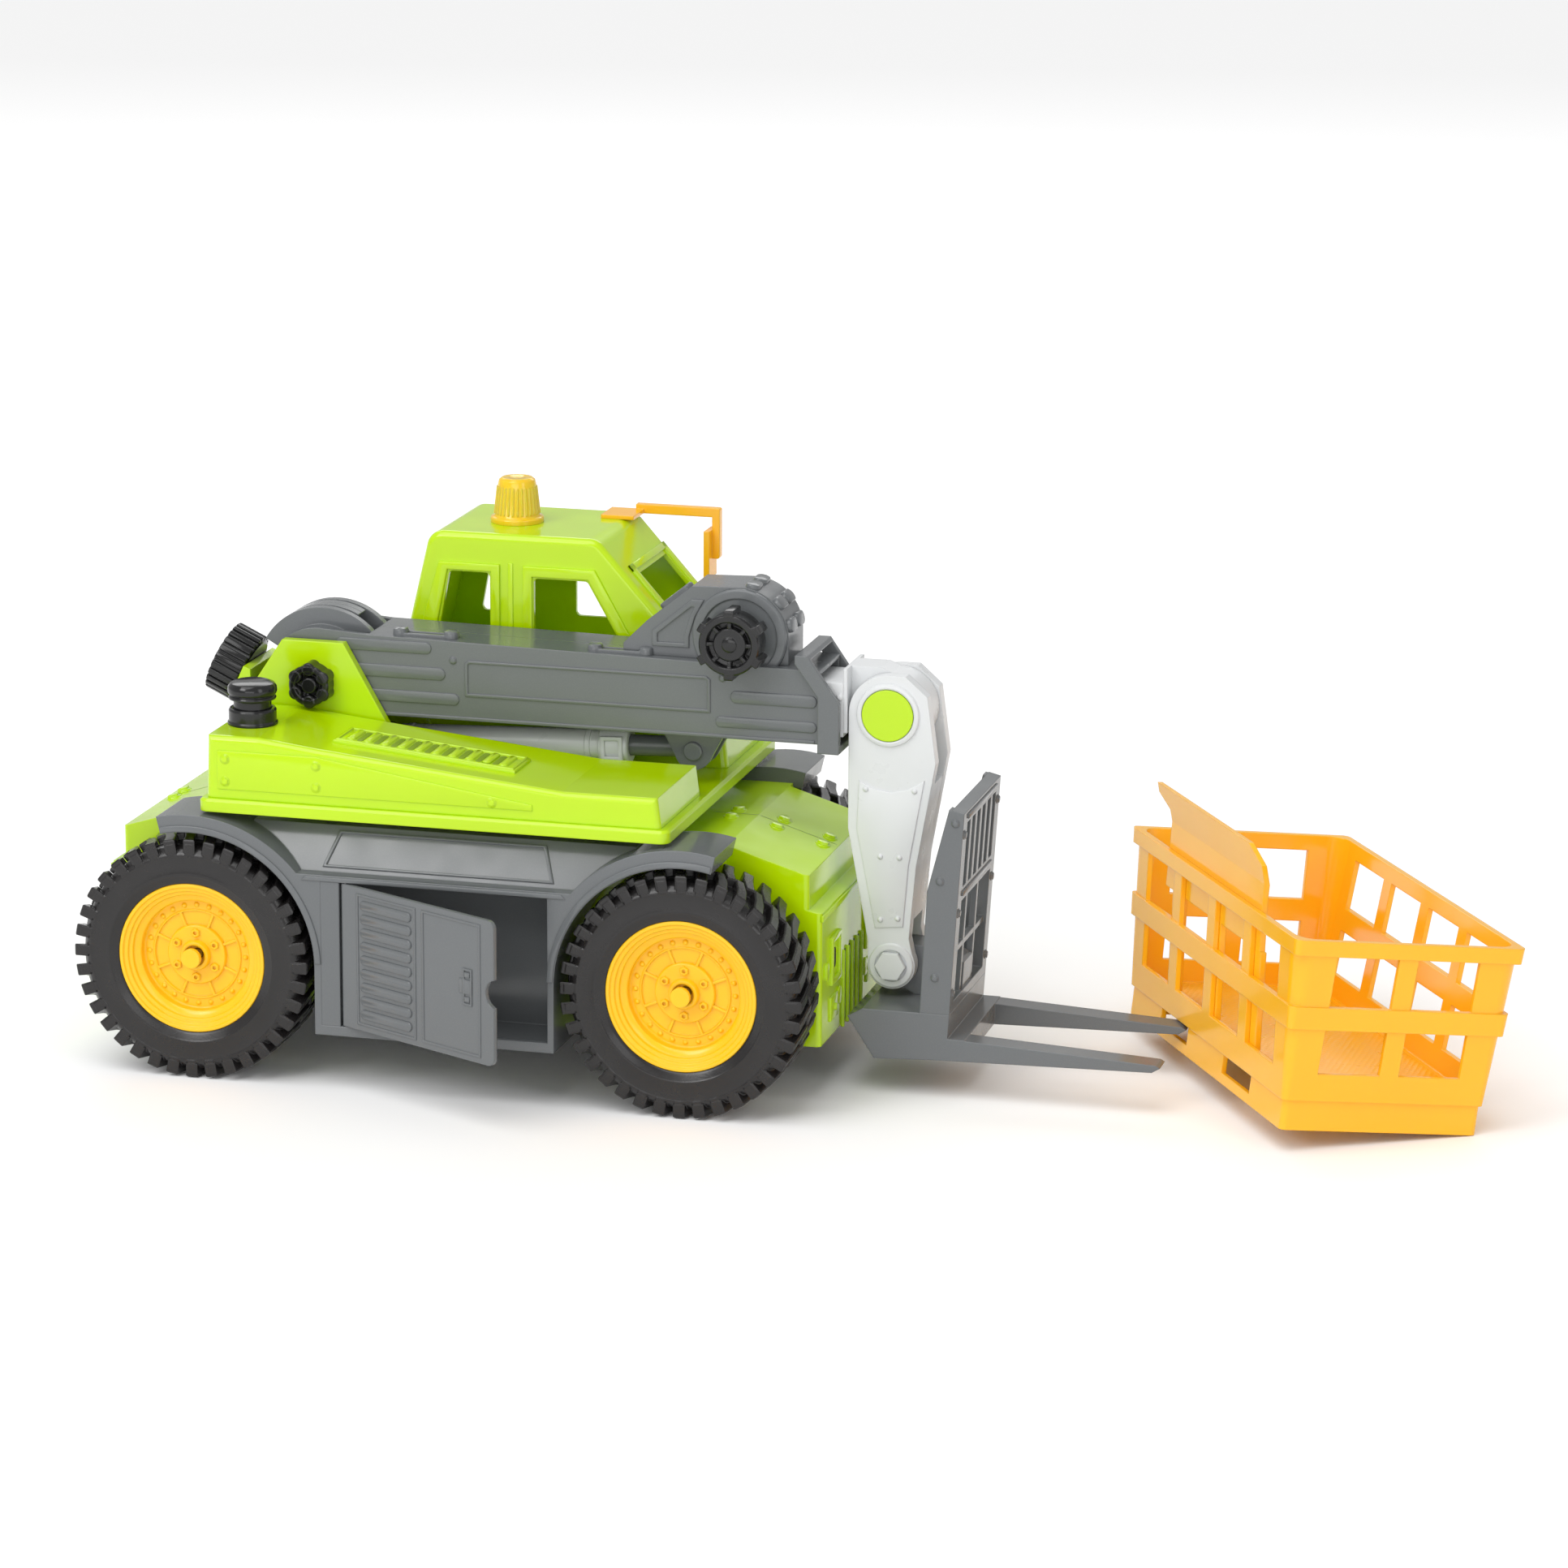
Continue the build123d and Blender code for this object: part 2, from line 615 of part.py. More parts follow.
with BuildPart() as cylinder_foot:
    for sign in (near, far):
        y_low, y_high = span(sign, ear_inner, ear_outer)
        block(foot_x - 6.5, foot_x + 6.5, y_low, y_high, deck_top, foot_z)
        cross_rod(foot_x, foot_z, 6.5, y_low, y_high)
    cross_rod(foot_x, foot_z, small_pin, -ear_outer - 1, ear_outer + 1)
cylinder_foot.part.label = "cylinder_foot"
export_step(cylinder_foot.part, "parts/cylinder_foot.step")

with BuildPart() as cylinder_barrel:
    cross_rod(foot_x, foot_z, 6.2, -eye_half, eye_half)
    stroke_cylinder(4.5, 0, 12)
    stroke_cylinder(barrel_radius, 9, 119)
    stroke_cylinder(rod_radius + shaft_gap, 40, 120, mode=Mode.SUBTRACT)
    cross_rod(foot_x, foot_z, small_pin + shaft_gap, -eye_half - 1, eye_half + 1, mode=Mode.SUBTRACT)
cylinder_barrel.part.label = "cylinder_barrel"
export_step(cylinder_barrel.part, "parts/cylinder_barrel.step")

with BuildPart() as cylinder_collar:
    stroke_cylinder(9.2, 111.5, 126.5)
    chamfer(cylinder_collar.edges().filter_by(GeomType.CIRCLE), 0.8)
    stroke_cylinder(barrel_radius, 110, 119, mode=Mode.SUBTRACT)
    stroke_cylinder(rod_radius + shaft_gap, 118, 128, mode=Mode.SUBTRACT)
cylinder_collar.part.label = "cylinder_collar"
export_step(cylinder_collar.part, "parts/cylinder_collar.step")

with BuildPart() as cylinder_rod:
    stroke_cylinder(rod_radius, 55, cylinder_length - 6)
    cross_rod(lug_x, lug_z, small_pin + eye_slack + 1.0, -eye_half, eye_half)
    cross_rod(lug_x, lug_z, small_pin + eye_slack, -eye_half - 2, eye_half + 2, mode=Mode.SUBTRACT)
cylinder_rod.part.label = "cylinder_rod"
export_step(cylinder_rod.part, "parts/cylinder_rod.step")

# ---- boom ---------------------------------------------------------------------------------
boom_rear = -60.0
cavity_half = boom_half - boom_wall
drum_radius = 34.5
drum_inner = 22.0
pinion_radius = 15.7
rack_top = 199.7
inner_half = cavity_half - slide_gap
inner_low = boom_bottom + boom_wall + slide_gap
inner_high = 196.5


def sector(radius_in, radius_out, start, end, y_low, y_high):
    """Part of a ring about the boom pivot, between two angles."""
    with BuildSketch(side(y_high)) as face:
        with BuildLine():
            CenterArc((pivot_x, pivot_z), radius_out, start, end - start)
            Line(polar(pivot_x, pivot_z, radius_out, end), polar(pivot_x, pivot_z, radius_in, end))
            CenterArc((pivot_x, pivot_z), radius_in, end, start - end)
            Line(polar(pivot_x, pivot_z, radius_in, start), polar(pivot_x, pivot_z, radius_out, start))
        make_face()
    extrude(face.sketch, amount=y_high - y_low)


def make_boom_half(sign):
    with BuildPart() as shell:
        slab([(boom_rear, boom_bottom), (boom_front, boom_bottom), (boom_front, boom_top_front),
              (boom_rear, boom_top_rear)], *span(sign, 0, boom_half))
        slab([(boom_rear - 1, boom_bottom + boom_wall), (boom_front + 1, boom_bottom + boom_wall),
              (boom_front + 1, boom_top_front - 2), (boom_rear - 1, boom_top_rear - 3)],
             *span(sign, -1, cavity_half), mode=Mode.SUBTRACT)
        slab([(pivot_x, pivot_z - 24), (boom_rear + 8, boom_bottom), (boom_rear + 8, boom_top_rear - 1),
              (boom_rear, boom_top_rear), (pivot_x, pivot_z + 26)], *span(sign, cavity_half, boom_half))
        cross_rod(pivot_x, pivot_z, 24, *span(sign, cavity_half, boom_half))
        sector(drum_inner, 26, 50, 130, *span(sign, 0, boom_half))
        sector(drum_inner + 1, drum_radius, 62, 130, *span(sign, 0, 5.5))
        sector(drum_inner, drum_radius, 40, 150, *span(sign, 7.5, 12))
        block(wind_x - 14, wind_x + 14, *span(sign, -1, 5.8), boom_top_front - 4, boom_top_front + 3,
              mode=Mode.SUBTRACT)
        cross_rod(pivot_x, pivot_z, pivot_pin + shaft_gap, -boom_half - 1, boom_half + 1, mode=Mode.SUBTRACT)
    return shell.part


boom_shell_near = make_boom_half(near)
boom_shell_near.label = "boom_shell_near"
export_step(boom_shell_near, "parts/boom_shell_near.step")
boom_shell_far = make_boom_half(far)
boom_shell_far.label = "boom_shell_far"
export_step(boom_shell_far, "parts/boom_shell_far.step")

with BuildPart() as lift_gear:
    cross_rod(pivot_x, pivot_z, worm_offset - worm_radius - 0.3, -5, 5)
    cross_rod(pivot_x, pivot_z, 9, -cavity_half, cavity_half)
    cross_rod(pivot_x, pivot_z, pivot_pin + shaft_gap, -boom_half, boom_half, mode=Mode.SUBTRACT)
lift_gear.part.label = "lift_gear"
export_step(lift_gear.part, "parts/lift_gear.step")

collar_half = boom_half + 3
with BuildPart() as boom_collar:
    slab([(boom_front, 162.5), (178.5, 162.5), (178.5, 187), (162.5, 210), (156.5, 210), (156.5, 206),
          (boom_front, 190)], -collar_half, collar_half)
    slab([(150, 166), (182, 166), (182, 206.5), (150, 206.5)], -collar_half + 3.5, collar_half - 3.5,
         mode=Mode.SUBTRACT)
    slab([(150, boom_bottom), (boom_front, boom_bottom), (boom_front, 208), (150, 208)],
         -boom_half, boom_half, mode=Mode.SUBTRACT)
boom_collar.part.label = "boom_collar"
export_step(boom_collar.part, "parts/boom_collar.step")

with BuildPart() as knob_housing:
    seat = boom_top_front + (boom_front - wind_x) * (boom_top_rear - boom_top_front) / (boom_front - boom_rear)
    slab([(68.5, 203.99), (68.5, 209), (80.7, 221), (103, 239), (wind_x, 239.7), (wind_x + 24, wind_z),
          (151, 202.6), (110, 203.3)], -14, 14)
    cross_rod(wind_x, wind_z, 24, -14, 14)
    slab([(60, 190), (60, boom_top_rear - (60 - boom_rear) * 3.9 / 228), (170, boom_top_rear - 230 * 3.9 / 228),
          (170, 190)], -15, 15, mode=Mode.SUBTRACT)
    cross_rod(wind_x, wind_z, pinion_radius + 1.5, -6.5, 6.5, mode=Mode.SUBTRACT)
    cross_rod(wind_x, wind_z, small_pin + shaft_gap, -15, 15, mode=Mode.SUBTRACT)
knob_housing.part.label = "knob_housing"
export_step(knob_housing.part, "parts/knob_housing.step")

with BuildPart() as cylinder_lug:
    for sign in (near, far):
        y_low, y_high = span(sign, ear_inner, ear_outer)
        slab([(lug_x - 16, boom_bottom), (lug_x + 16, boom_bottom), (lug_x + 9, lug_z - 3),
              (lug_x - 9, lug_z - 3)], y_low, y_high)
        cross_rod(lug_x, lug_z, 9.5, y_low, y_high)
    cross_rod(lug_x, lug_z, small_pin, -ear_outer - 1, ear_outer + 1)
cylinder_lug.part.label = "cylinder_lug"
export_step(cylinder_lug.part, "parts/cylinder_lug.step")

with BuildPart() as extension_pinion:
    cross_rod(wind_x, wind_z, pinion_radius, -5, 5)
    cross_rod(wind_x, wind_z, small_pin, -boom_half - 13, 17)
extension_pinion.part.label = "extension_pinion"
export_step(extension_pinion.part, "parts/extension_pinion.step")

with BuildPart() as extension_knob:
    cross_rod(wind_x, wind_z, 15, -boom_half - 15.5, -boom_half - 1.5)
    for step in range(6):
        lug_centre = polar(wind_x, wind_z, 15.2, 60 * step + 30)
        cross_rod(*lug_centre, 2.2, -boom_half - 15.5, -boom_half - 1.5)
    cross_rod(wind_x, wind_z, small_pin, -boom_half - 13, 0, mode=Mode.SUBTRACT)
extension_knob.part.label = "extension_knob"
export_step(extension_knob.part, "parts/extension_knob.step")

# ---- inner boom and its head --------------------------------------------------------------
head_rear = 179.0
head_top = 203.5
with BuildPart() as inner_boom:
    block(-10, head_rear, -inner_half, inner_half, inner_low, inner_high)
    block(-11, head_rear - 4, -inner_half + 2, inner_half - 2, inner_low + 2, inner_high - 2, mode=Mode.SUBTRACT)
    block(40, 160, -4, 4, inner_high - 1, rack_top)
inner_boom.part.label = "inner_boom"
export_step(inner_boom.part, "parts/inner_boom.step")

arm_pivot_radius = 19.4
tongue_half = 8.8
with BuildPart() as boom_head:
    block(head_rear, 181, -inner_half, inner_half, 172, head_top)
    slab([(head_rear, 172), (arm_x, arm_z - arm_pivot_radius), (arm_x, arm_z + arm_pivot_radius),
          (196, head_top), (head_rear, head_top)], -tongue_half, tongue_half)
    cross_rod(arm_x, arm_z, arm_pivot_radius, -tongue_half, tongue_half)
    cross_rod(arm_x, arm_z, pin_radius + shaft_gap, -20, 20, mode=Mode.SUBTRACT)
boom_head.part.label = "boom_head"
export_step(boom_head.part, "parts/boom_head.step")

# ---- arm ----------------------------------------------------------------------------------
arm_inner = tongue_half + part_gap
arm_outer = 16.0
arm_points = [(arm_x - arm_pivot_radius, arm_z), (181.7, 125), (192.2, 69), (tilt_x - 11.8, tilt_z),
              (tilt_x + 11.8, tilt_z), (212.5, 71.5), (215.7, 108), (224.7, 159.3), (220.3, 191.8), (209.4, 201.4),
              (arm_x, arm_z + arm_pivot_radius)]


def make_arm_half(sign):
    with BuildPart() as shell:
        slab(arm_points, *span(sign, arm_inner, arm_outer))
        cross_rod(arm_x, arm_z, arm_pivot_radius, *span(sign, arm_inner, arm_outer))
        cross_rod(tilt_x, tilt_z, 11.8, *span(sign, arm_inner, arm_outer))
        slab([(181.95, 148), (181.7, 125), (190, 80), (194, 80), (185.7, 125), (185.7, 148)],
             *span(sign, 0, arm_inner))
        slab([(222.6, 148), (215.7, 108), (213.3, 80), (209.3, 80), (211.7, 108), (218.6, 148)],
             *span(sign, 0, arm_inner))
        for x, z in ((arm_x, arm_z), (tilt_x, tilt_z)):
            cross_rod(x, z, pin_radius, -20, 20, mode=Mode.SUBTRACT)
    return shell.part


arm_near = make_arm_half(near)
arm_near.label = "arm_near"
export_step(arm_near, "parts/arm_near.step")
arm_far = make_arm_half(far)
arm_far.label = "arm_far"
export_step(arm_far, "parts/arm_far.step")

with BuildPart() as arm_pin:
    cross_rod(arm_x, arm_z, pin_radius, -arm_outer, arm_outer)
arm_pin.part.label = "arm_pin"
export_step(arm_pin.part, "parts/arm_pin.step")

with BuildPart() as arm_caps:
    for sign in (near, far):
        cross_rod(arm_x, arm_z, 12.6, *span(sign, arm_outer, arm_outer + 1.6))
arm_caps.part.label = "arm_caps"
export_step(arm_caps.part, "parts/arm_caps.step")

with BuildPart() as carriage_pin:
    cross_rod(tilt_x, tilt_z, pin_radius, -arm_outer, arm_outer)
    for y in (-arm_outer, arm_outer + 3):
        with BuildSketch(side(y)) as head:
            with Locations((tilt_x, tilt_z)):
                RegularPolygon(7.6, 6)
        extrude(head.sketch, amount=3)
carriage_pin.part.label = "carriage_pin"
export_step(carriage_pin.part, "parts/carriage_pin.step")

# ---- carriage and forks -------------------------------------------------------------------
base_top = 42.0
lean = (244.5 - 237.3) / (141.8 - 27.1)   # forward lean of the carriage, run over rise


def front_x(z):
    """Front face of the leaning carriage at a height."""
    return 237.3 + (z - 27.1) * lean


plate = 6.0
with BuildPart() as carriage_frame:
    slab([(front_x(base_top), base_top), (front_x(142), 142), (front_x(142) - plate, 143.5),
          (front_x(base_top) - plate, base_top)], -carriage_half, carriage_half)
    for sign in (near, far):
        slab([(front_x(base_top) - 1, base_top), (front_x(142) - 1, 142), (front_x(142) - 7.5, 143.5),
              (226.7, 102.6), (223.7, base_top)], *span(sign, 33, carriage_half))
    block(215, 250, -31, 31, 47, 97, mode=Mode.SUBTRACT)
    for step in range(6):
        y = -27.5 + 11 * step
        block(215, 260, y - 3.4, y + 3.4, 104, 136, mode=Mode.SUBTRACT)
    for y in (-12, 12):
        slab([(front_x(47) - 4.5, 46), (front_x(47) - 1.5, 46), (front_x(98) - 1.5, 98), (front_x(98) - 4.5, 98)],
             y - 1.6, y + 1.6)
    slab([(front_x(70) - 4.5, 70), (front_x(70) - 1.5, 70), (front_x(73) - 1.5, 73), (front_x(73) - 4.5, 73)],
         -32, 32)
    slab([(tilt_x, tilt_z - 9.8), (tilt_x, tilt_z + 9.8), (229, 66), (front_x(60) - 1, 60),
          (front_x(base_top) - 1, base_top), (214, base_top)], -tongue_half, tongue_half)
    cross_rod(tilt_x, tilt_z, 9.8, -tongue_half, tongue_half)
    cross_rod(tilt_x, tilt_z, pin_radius + shaft_gap, -20, 20, mode=Mode.SUBTRACT)
carriage_frame.part.label = "carriage_frame"
export_step(carriage_frame.part, "parts/carriage_frame.step")

tine_width = 12.5
tine_root = 246.0
with BuildPart() as forks:
    slab([(188.1, 37.8), (195.4, base_top), (front_x(base_top), base_top), (front_x(30), 30), (tine_root, 30),
          (tine_root, 19.6), (201.3, 17.6)], -carriage_half, carriage_half)
    for sign in (near, far):
        slab([(230, 30.4), (fork_tip - 2, fork_top_tip), (fork_tip, fork_top_tip - 1.2),
              (fork_tip - 4, fork_top_tip - 3.6), (230, 18.9)],
             *span(sign, carriage_half - tine_width, carriage_half))
forks.part.label = "forks"
export_step(forks.part, "parts/forks.step")

# ---- work basket --------------------------------------------------------------------------
# Its own frame: first axis across its width, second along its length, third up.
# It is turned about Z, and rolled about its far bottom edge, which lies on the floor.
yaw = radians(basket_yaw)
roll = radians(basket_roll)
across = Vector(cos(roll) * cos(yaw), cos(roll) * sin(yaw), -sin(roll))
along = Vector(-sin(yaw), cos(yaw), 0)
upward = across.cross(along)
basket_corner = Vector(407.0, -80.6, basket_width * sin(roll))
basket_frame = Plane(origin=basket_corner, x_dir=across, z_dir=upward)
flare = 4.4                  # outward slope of the sides, degrees
pocket_low = 5.0
pocket_length = 36.0
pocket_spots = (60.0, 143.0)
rail_spots = ((28.0, 50.0), (61.0, 86.0))
corner_post = 14.0
rail_post = 9.6
basket_wall = 2.6


def centred(height):
    """Basket plane at a height, with its origin at the middle of the basket."""
    plane = basket_frame.offset(height)
    return Plane(origin=plane.from_local_coords((basket_width / 2, basket_length / 2, 0)),
                 x_dir=plane.x_dir, z_dir=plane.z_dir)


def tapered(low, high, grow, mode=Mode.ADD):
    """Flared box of the basket between two heights, grown sideways past its nominal side."""
    spread = 2 * (grow + (low - basket_base) * sin(radians(flare)))
    with BuildSketch(centred(low)) as face:
        RectangleRounded(basket_width + spread, basket_length + spread, 3)
    extrude(face.sketch, amount=high - low, taper=-flare, mode=mode)


def local_box(x_low, x_high, y_low, y_high, z_low, z_high, mode=Mode.ADD):
    """Box in the basket's own frame, measured from its middle."""
    with BuildSketch(centred(z_low)) as face:
        with Locations(((x_low + x_high) / 2, (y_low + y_high) / 2)):
            Rectangle(x_high - x_low, y_high - y_low)
    extrude(face.sketch, amount=z_high - z_low, mode=mode)


def openings(length, posts):
    """Spans left between the corner posts by a number of equal posts."""
    clear = length - 2 * corner_post
    gap = (clear - posts * rail_post) / (posts + 1)
    return [(-clear / 2 + i * (gap + rail_post), -clear / 2 + i * (gap + rail_post) + gap) for i in range(posts + 1)]


with BuildPart() as basket:
    reach_x = basket_width / 2
    reach_y = basket_length / 2
    with BuildSketch(centred(0)) as plinth:
        RectangleRounded(basket_width, basket_length, 3)
    extrude(plinth.sketch, amount=basket_base)
    tapered(basket_base, basket_height, 1.2)
    tapered(50, 61, 2.2)
    tapered(86, basket_height, 2.2)
    local_box(-reach_x + basket_wall, reach_x - basket_wall, -reach_y + basket_wall, reach_y - basket_wall,
              -1, basket_base, mode=Mode.SUBTRACT)
    tapered(basket_base + 2.4, basket_height + 1, 1.2 - basket_wall, mode=Mode.SUBTRACT)
    for low, high in rail_spots:
        for start, end in openings(basket_length, 3):
            local_box(-reach_x - 30, reach_x + 30, start, end, low, high, mode=Mode.SUBTRACT)
        for start, end in openings(basket_width, 1):
            local_box(start, end, -reach_y - 30, reach_y + 30, low, high, mode=Mode.SUBTRACT)
    for spot in pocket_spots:
        middle = spot - reach_y
        local_box(-reach_x - 5, reach_x + 5, middle - pocket_length / 2, middle + pocket_length / 2,
                  pocket_low, basket_base, mode=Mode.SUBTRACT)
basket.part.label = "basket"
export_step(basket.part, "parts/basket.step")

console_top = 124.0          # heights and lengths in the basket's own frame
console_crease = 107.0
console_bottom = 74.0
console_plate = 2.8
console_gap = 0.05
console_legs = (49.5, 101.5, 153.5)
leg_width = 13.0
floor_top = basket_base + 2.4
console_points = [(45, console_bottom), (170, console_bottom), (166, 113), (178, 119), (177, console_top + 1),
                  (57, console_top + 1), (43, 116), (45, 100)]


def inner_wall(height):
    """Place of the basket's inner side face at a height, across from its middle."""
    return -(reach_x + 1.2 - basket_wall - console_gap) - (height - basket_base) * tan(radians(flare))


section_plane = Plane(origin=centred(0).from_local_coords((0, -reach_y, 0)), x_dir=across, z_dir=-along)
with BuildPart() as basket_console:
    with BuildSketch(section_plane) as section:
        with BuildLine():
            Polyline((inner_wall(floor_top), floor_top), (inner_wall(console_crease), console_crease),
                     (inner_wall(console_crease) - 6, console_top), (inner_wall(console_crease) - 3.4, console_top),
                     (inner_wall(console_crease) + console_plate, console_crease - 0.4),
                     (inner_wall(floor_top + 2) + console_plate, floor_top + 2),
                     (inner_wall(floor_top) + 12, floor_top + 2), (inner_wall(floor_top) + 12, floor_top), close=True)
        make_face()
    extrude(section.sketch, amount=-basket_length)
    upright = Plane(origin=centred(0).from_local_coords((0, 0, 0)), x_dir=along, z_dir=across)
    with BuildSketch(upright) as shape:
        with BuildLine():
            Polyline(*[(y - reach_y, z) for y, z in console_points], close=True)
        make_face()
        for y in console_legs:
            with Locations((y - reach_y, console_bottom / 2)):
                Rectangle(leg_width, console_bottom)
    extrude(shape.sketch, amount=100, both=True, mode=Mode.INTERSECT)
basket_console.part.label = "basket_console"
export_step(basket_console.part, "parts/basket_console.step")
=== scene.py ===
"""Looks of a toy telescopic fork lift with a work basket, built round its moving bodies."""

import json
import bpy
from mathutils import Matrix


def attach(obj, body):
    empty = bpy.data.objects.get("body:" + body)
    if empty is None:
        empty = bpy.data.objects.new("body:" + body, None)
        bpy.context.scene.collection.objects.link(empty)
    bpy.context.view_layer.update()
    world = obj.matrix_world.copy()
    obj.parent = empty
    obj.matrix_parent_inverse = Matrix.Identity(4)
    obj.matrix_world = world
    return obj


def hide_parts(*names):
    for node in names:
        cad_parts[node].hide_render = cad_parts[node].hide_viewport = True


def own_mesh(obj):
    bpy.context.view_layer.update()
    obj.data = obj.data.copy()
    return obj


bl_info = {
    "name": "Toy Telescopic Fork Lift",
    "version": (1, 0, 0),
    "blender": (4, 5, 0),
    "location": "View3D > Sidebar > Fork Lift",
    "description": "Builds the tyres, rims, knobs, relief and finishes of a toy telescopic fork lift",
    "category": "Add Mesh",
}

from functools import cache
from math import cos, pi, radians, sin

import bmesh
import bpy
from mathutils import Matrix, Vector

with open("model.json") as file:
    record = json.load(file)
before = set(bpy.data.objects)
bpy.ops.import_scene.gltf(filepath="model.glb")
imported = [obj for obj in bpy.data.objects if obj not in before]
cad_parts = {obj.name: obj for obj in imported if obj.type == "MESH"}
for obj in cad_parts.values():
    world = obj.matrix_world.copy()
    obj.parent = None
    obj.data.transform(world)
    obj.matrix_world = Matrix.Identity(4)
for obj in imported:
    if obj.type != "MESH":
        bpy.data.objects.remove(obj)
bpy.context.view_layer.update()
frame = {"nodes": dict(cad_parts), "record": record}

MM = 0.001
SINK = 0.4                    # how deep relief starts below the surface it stands on, in mm

# Sizes of the patterns in the finishes, in mm from one mark to the next.
FLOW_MARKS = 45
SINK_MARKS = 30
HAND_MARKS = 18
MOULD_GRAIN = 1.6
PEARL_FLAKES = 0.8
DUST = 14
TYRE_GRAIN = 0.9
DRAW_LINES = 0.7
PAPER_TOOTH = 3
BLEED = 4                     # how far light bleeds inside the plastics

# Right and up directions of each side as it is looked at.
NEAR = ((1, 0, 0), (0, 0, 1))
FAR = ((-1, 0, 0), (0, 0, 1))
TOP = ((1, 0, 0), (0, 1, 0))
FRONT = ((0, 1, 0), (0, 0, 1))
REAR = ((0, -1, 0), (0, 0, 1))


# ---- settings ---------------------------------------------------------------------------------
def linear(hex_colour):
    """Linear RGBA from an sRGB hex value."""
    parts = [int(hex_colour[i:i + 2], 16) / 255 for i in (1, 3, 5)]
    return [c / 12.92 if c <= 0.04045 else ((c + 0.055) / 1.055) ** 2.4 for c in parts] + [1.0]


class ForkLiftSizes(bpy.types.PropertyGroup):
    """Sizes that change the look without moving the frame."""

    tread_blocks: bpy.props.IntProperty(
        name="Tread blocks", description="Blocks round each shoulder of a tyre", default=36,
        min=12, max=60)
    tread_depth: bpy.props.FloatProperty(
        name="Tread depth", description="Height of a tread block", default=0.0042, min=0.001,
        max=0.008,
        unit="LENGTH", precision=4)
    rivets: bpy.props.IntProperty(
        name="Rivets", description="Rivets round each wheel disc", default=24, min=6, max=40)
    spokes: bpy.props.IntProperty(
        name="Spokes", description="Ribs between a wheel's hub plate and its rivet ring",
        default=8, min=3, max=16)
    knob_ribs: bpy.props.IntProperty(
        name="Knob ribs", description="Grip ribs round the lift knob", default=24, min=8, max=48)
    relief: bpy.props.FloatProperty(
        name="Relief", description="Height of raised panels", default=0.0007, min=0.0002,
        max=0.002,
        unit="LENGTH", precision=4)
    louvres: bpy.props.IntProperty(
        name="Louvres", description="Pressed louvres on each side door", default=9, min=3, max=14)
    edge_radius: bpy.props.FloatProperty(
        name="Edge radius", description="Softness of moulded edges", default=0.0009, min=0,
        max=0.003,
        unit="LENGTH", precision=4)


def shade(name, description, hex_colour):
    """A colour setting whose default is an sRGB hex value."""
    return bpy.props.FloatVectorProperty(
        name=name, description=description, subtype="COLOR", size=4, min=0, max=1,
        default=linear(hex_colour))


class ForkLiftColours(bpy.types.PropertyGroup):
    """Colours of the moulded plastics, the tyres and the steel."""

    lime: shade("Lime", "Body panels", "#B9DE00")
    # Groove is a darker lime, painted as shade at the bottom of grooves and between the pod's vents.
    groove: shade("Groove", "Bottom of grooves in the body panels", "#7E9C02")
    grey: shade("Grey", "Boom, skirts and forks", "#66696B")
    pale: shade("Pale grey", "Inner boom and arm", "#D6D8D9")
    black: shade("Black", "Knobs and button", "#161617")
    rim: shade("Rim yellow", "Wheel discs", "#FFC314")
    basket: shade("Basket yellow", "Work basket and mirror", "#FFB817")
    amber: shade("Amber", "Beacon lens", "#FFCC1A")
    tyre: shade("Tyre", "Soft tyre compound", "#1C1A1A")
    steel: shade("Steel", "Axles, pins and screws", "#B9BABC")
    # Slot is a dark colour, painted as shade inside deep slots and framed recesses.
    slot: shade("Slot", "Inside of deep slots", "#262B06")
    floor: shade("Floor", "Studio floor", "#FCFCFC")


def sizes():
    return bpy.context.scene.fork_lift_sizes


def colours():
    return bpy.context.scene.fork_lift_colours


# ---- materials --------------------------------------------------------------------------------
def add(tree, kind, inputs=(), **settings):
    """Adds a node; inputs pairs a socket's name or number with a value or a node's output."""
    node = tree.nodes.new(kind)
    for name, value in settings.items():
        setattr(node, name, value)
    for name, value in dict(inputs).items():
        socket = node.inputs[name]
        if isinstance(value, bpy.types.NodeSocket):
            tree.links.new(value, socket)
        else:
            socket.default_value = value
    return node


def per_mm(size):
    """Texture scale whose features are about this many millimetres across."""
    return 1 / (size * MM)


def new_finish(name):
    """A new material, its empty node tree and the coordinates fixed to the object."""
    material = bpy.data.materials.new(name)
    material.use_nodes = True
    tree = material.node_tree
    tree.nodes.clear()
    return material, tree, add(tree, "ShaderNodeTexCoord").outputs["Object"]


def tint(colour, gain=1.0, lift=0.0):
    """The colour made deeper or paler, at full opacity."""
    return [min(1.0, c * gain + lift) for c in tuple(colour)[:3]] + [1.0]


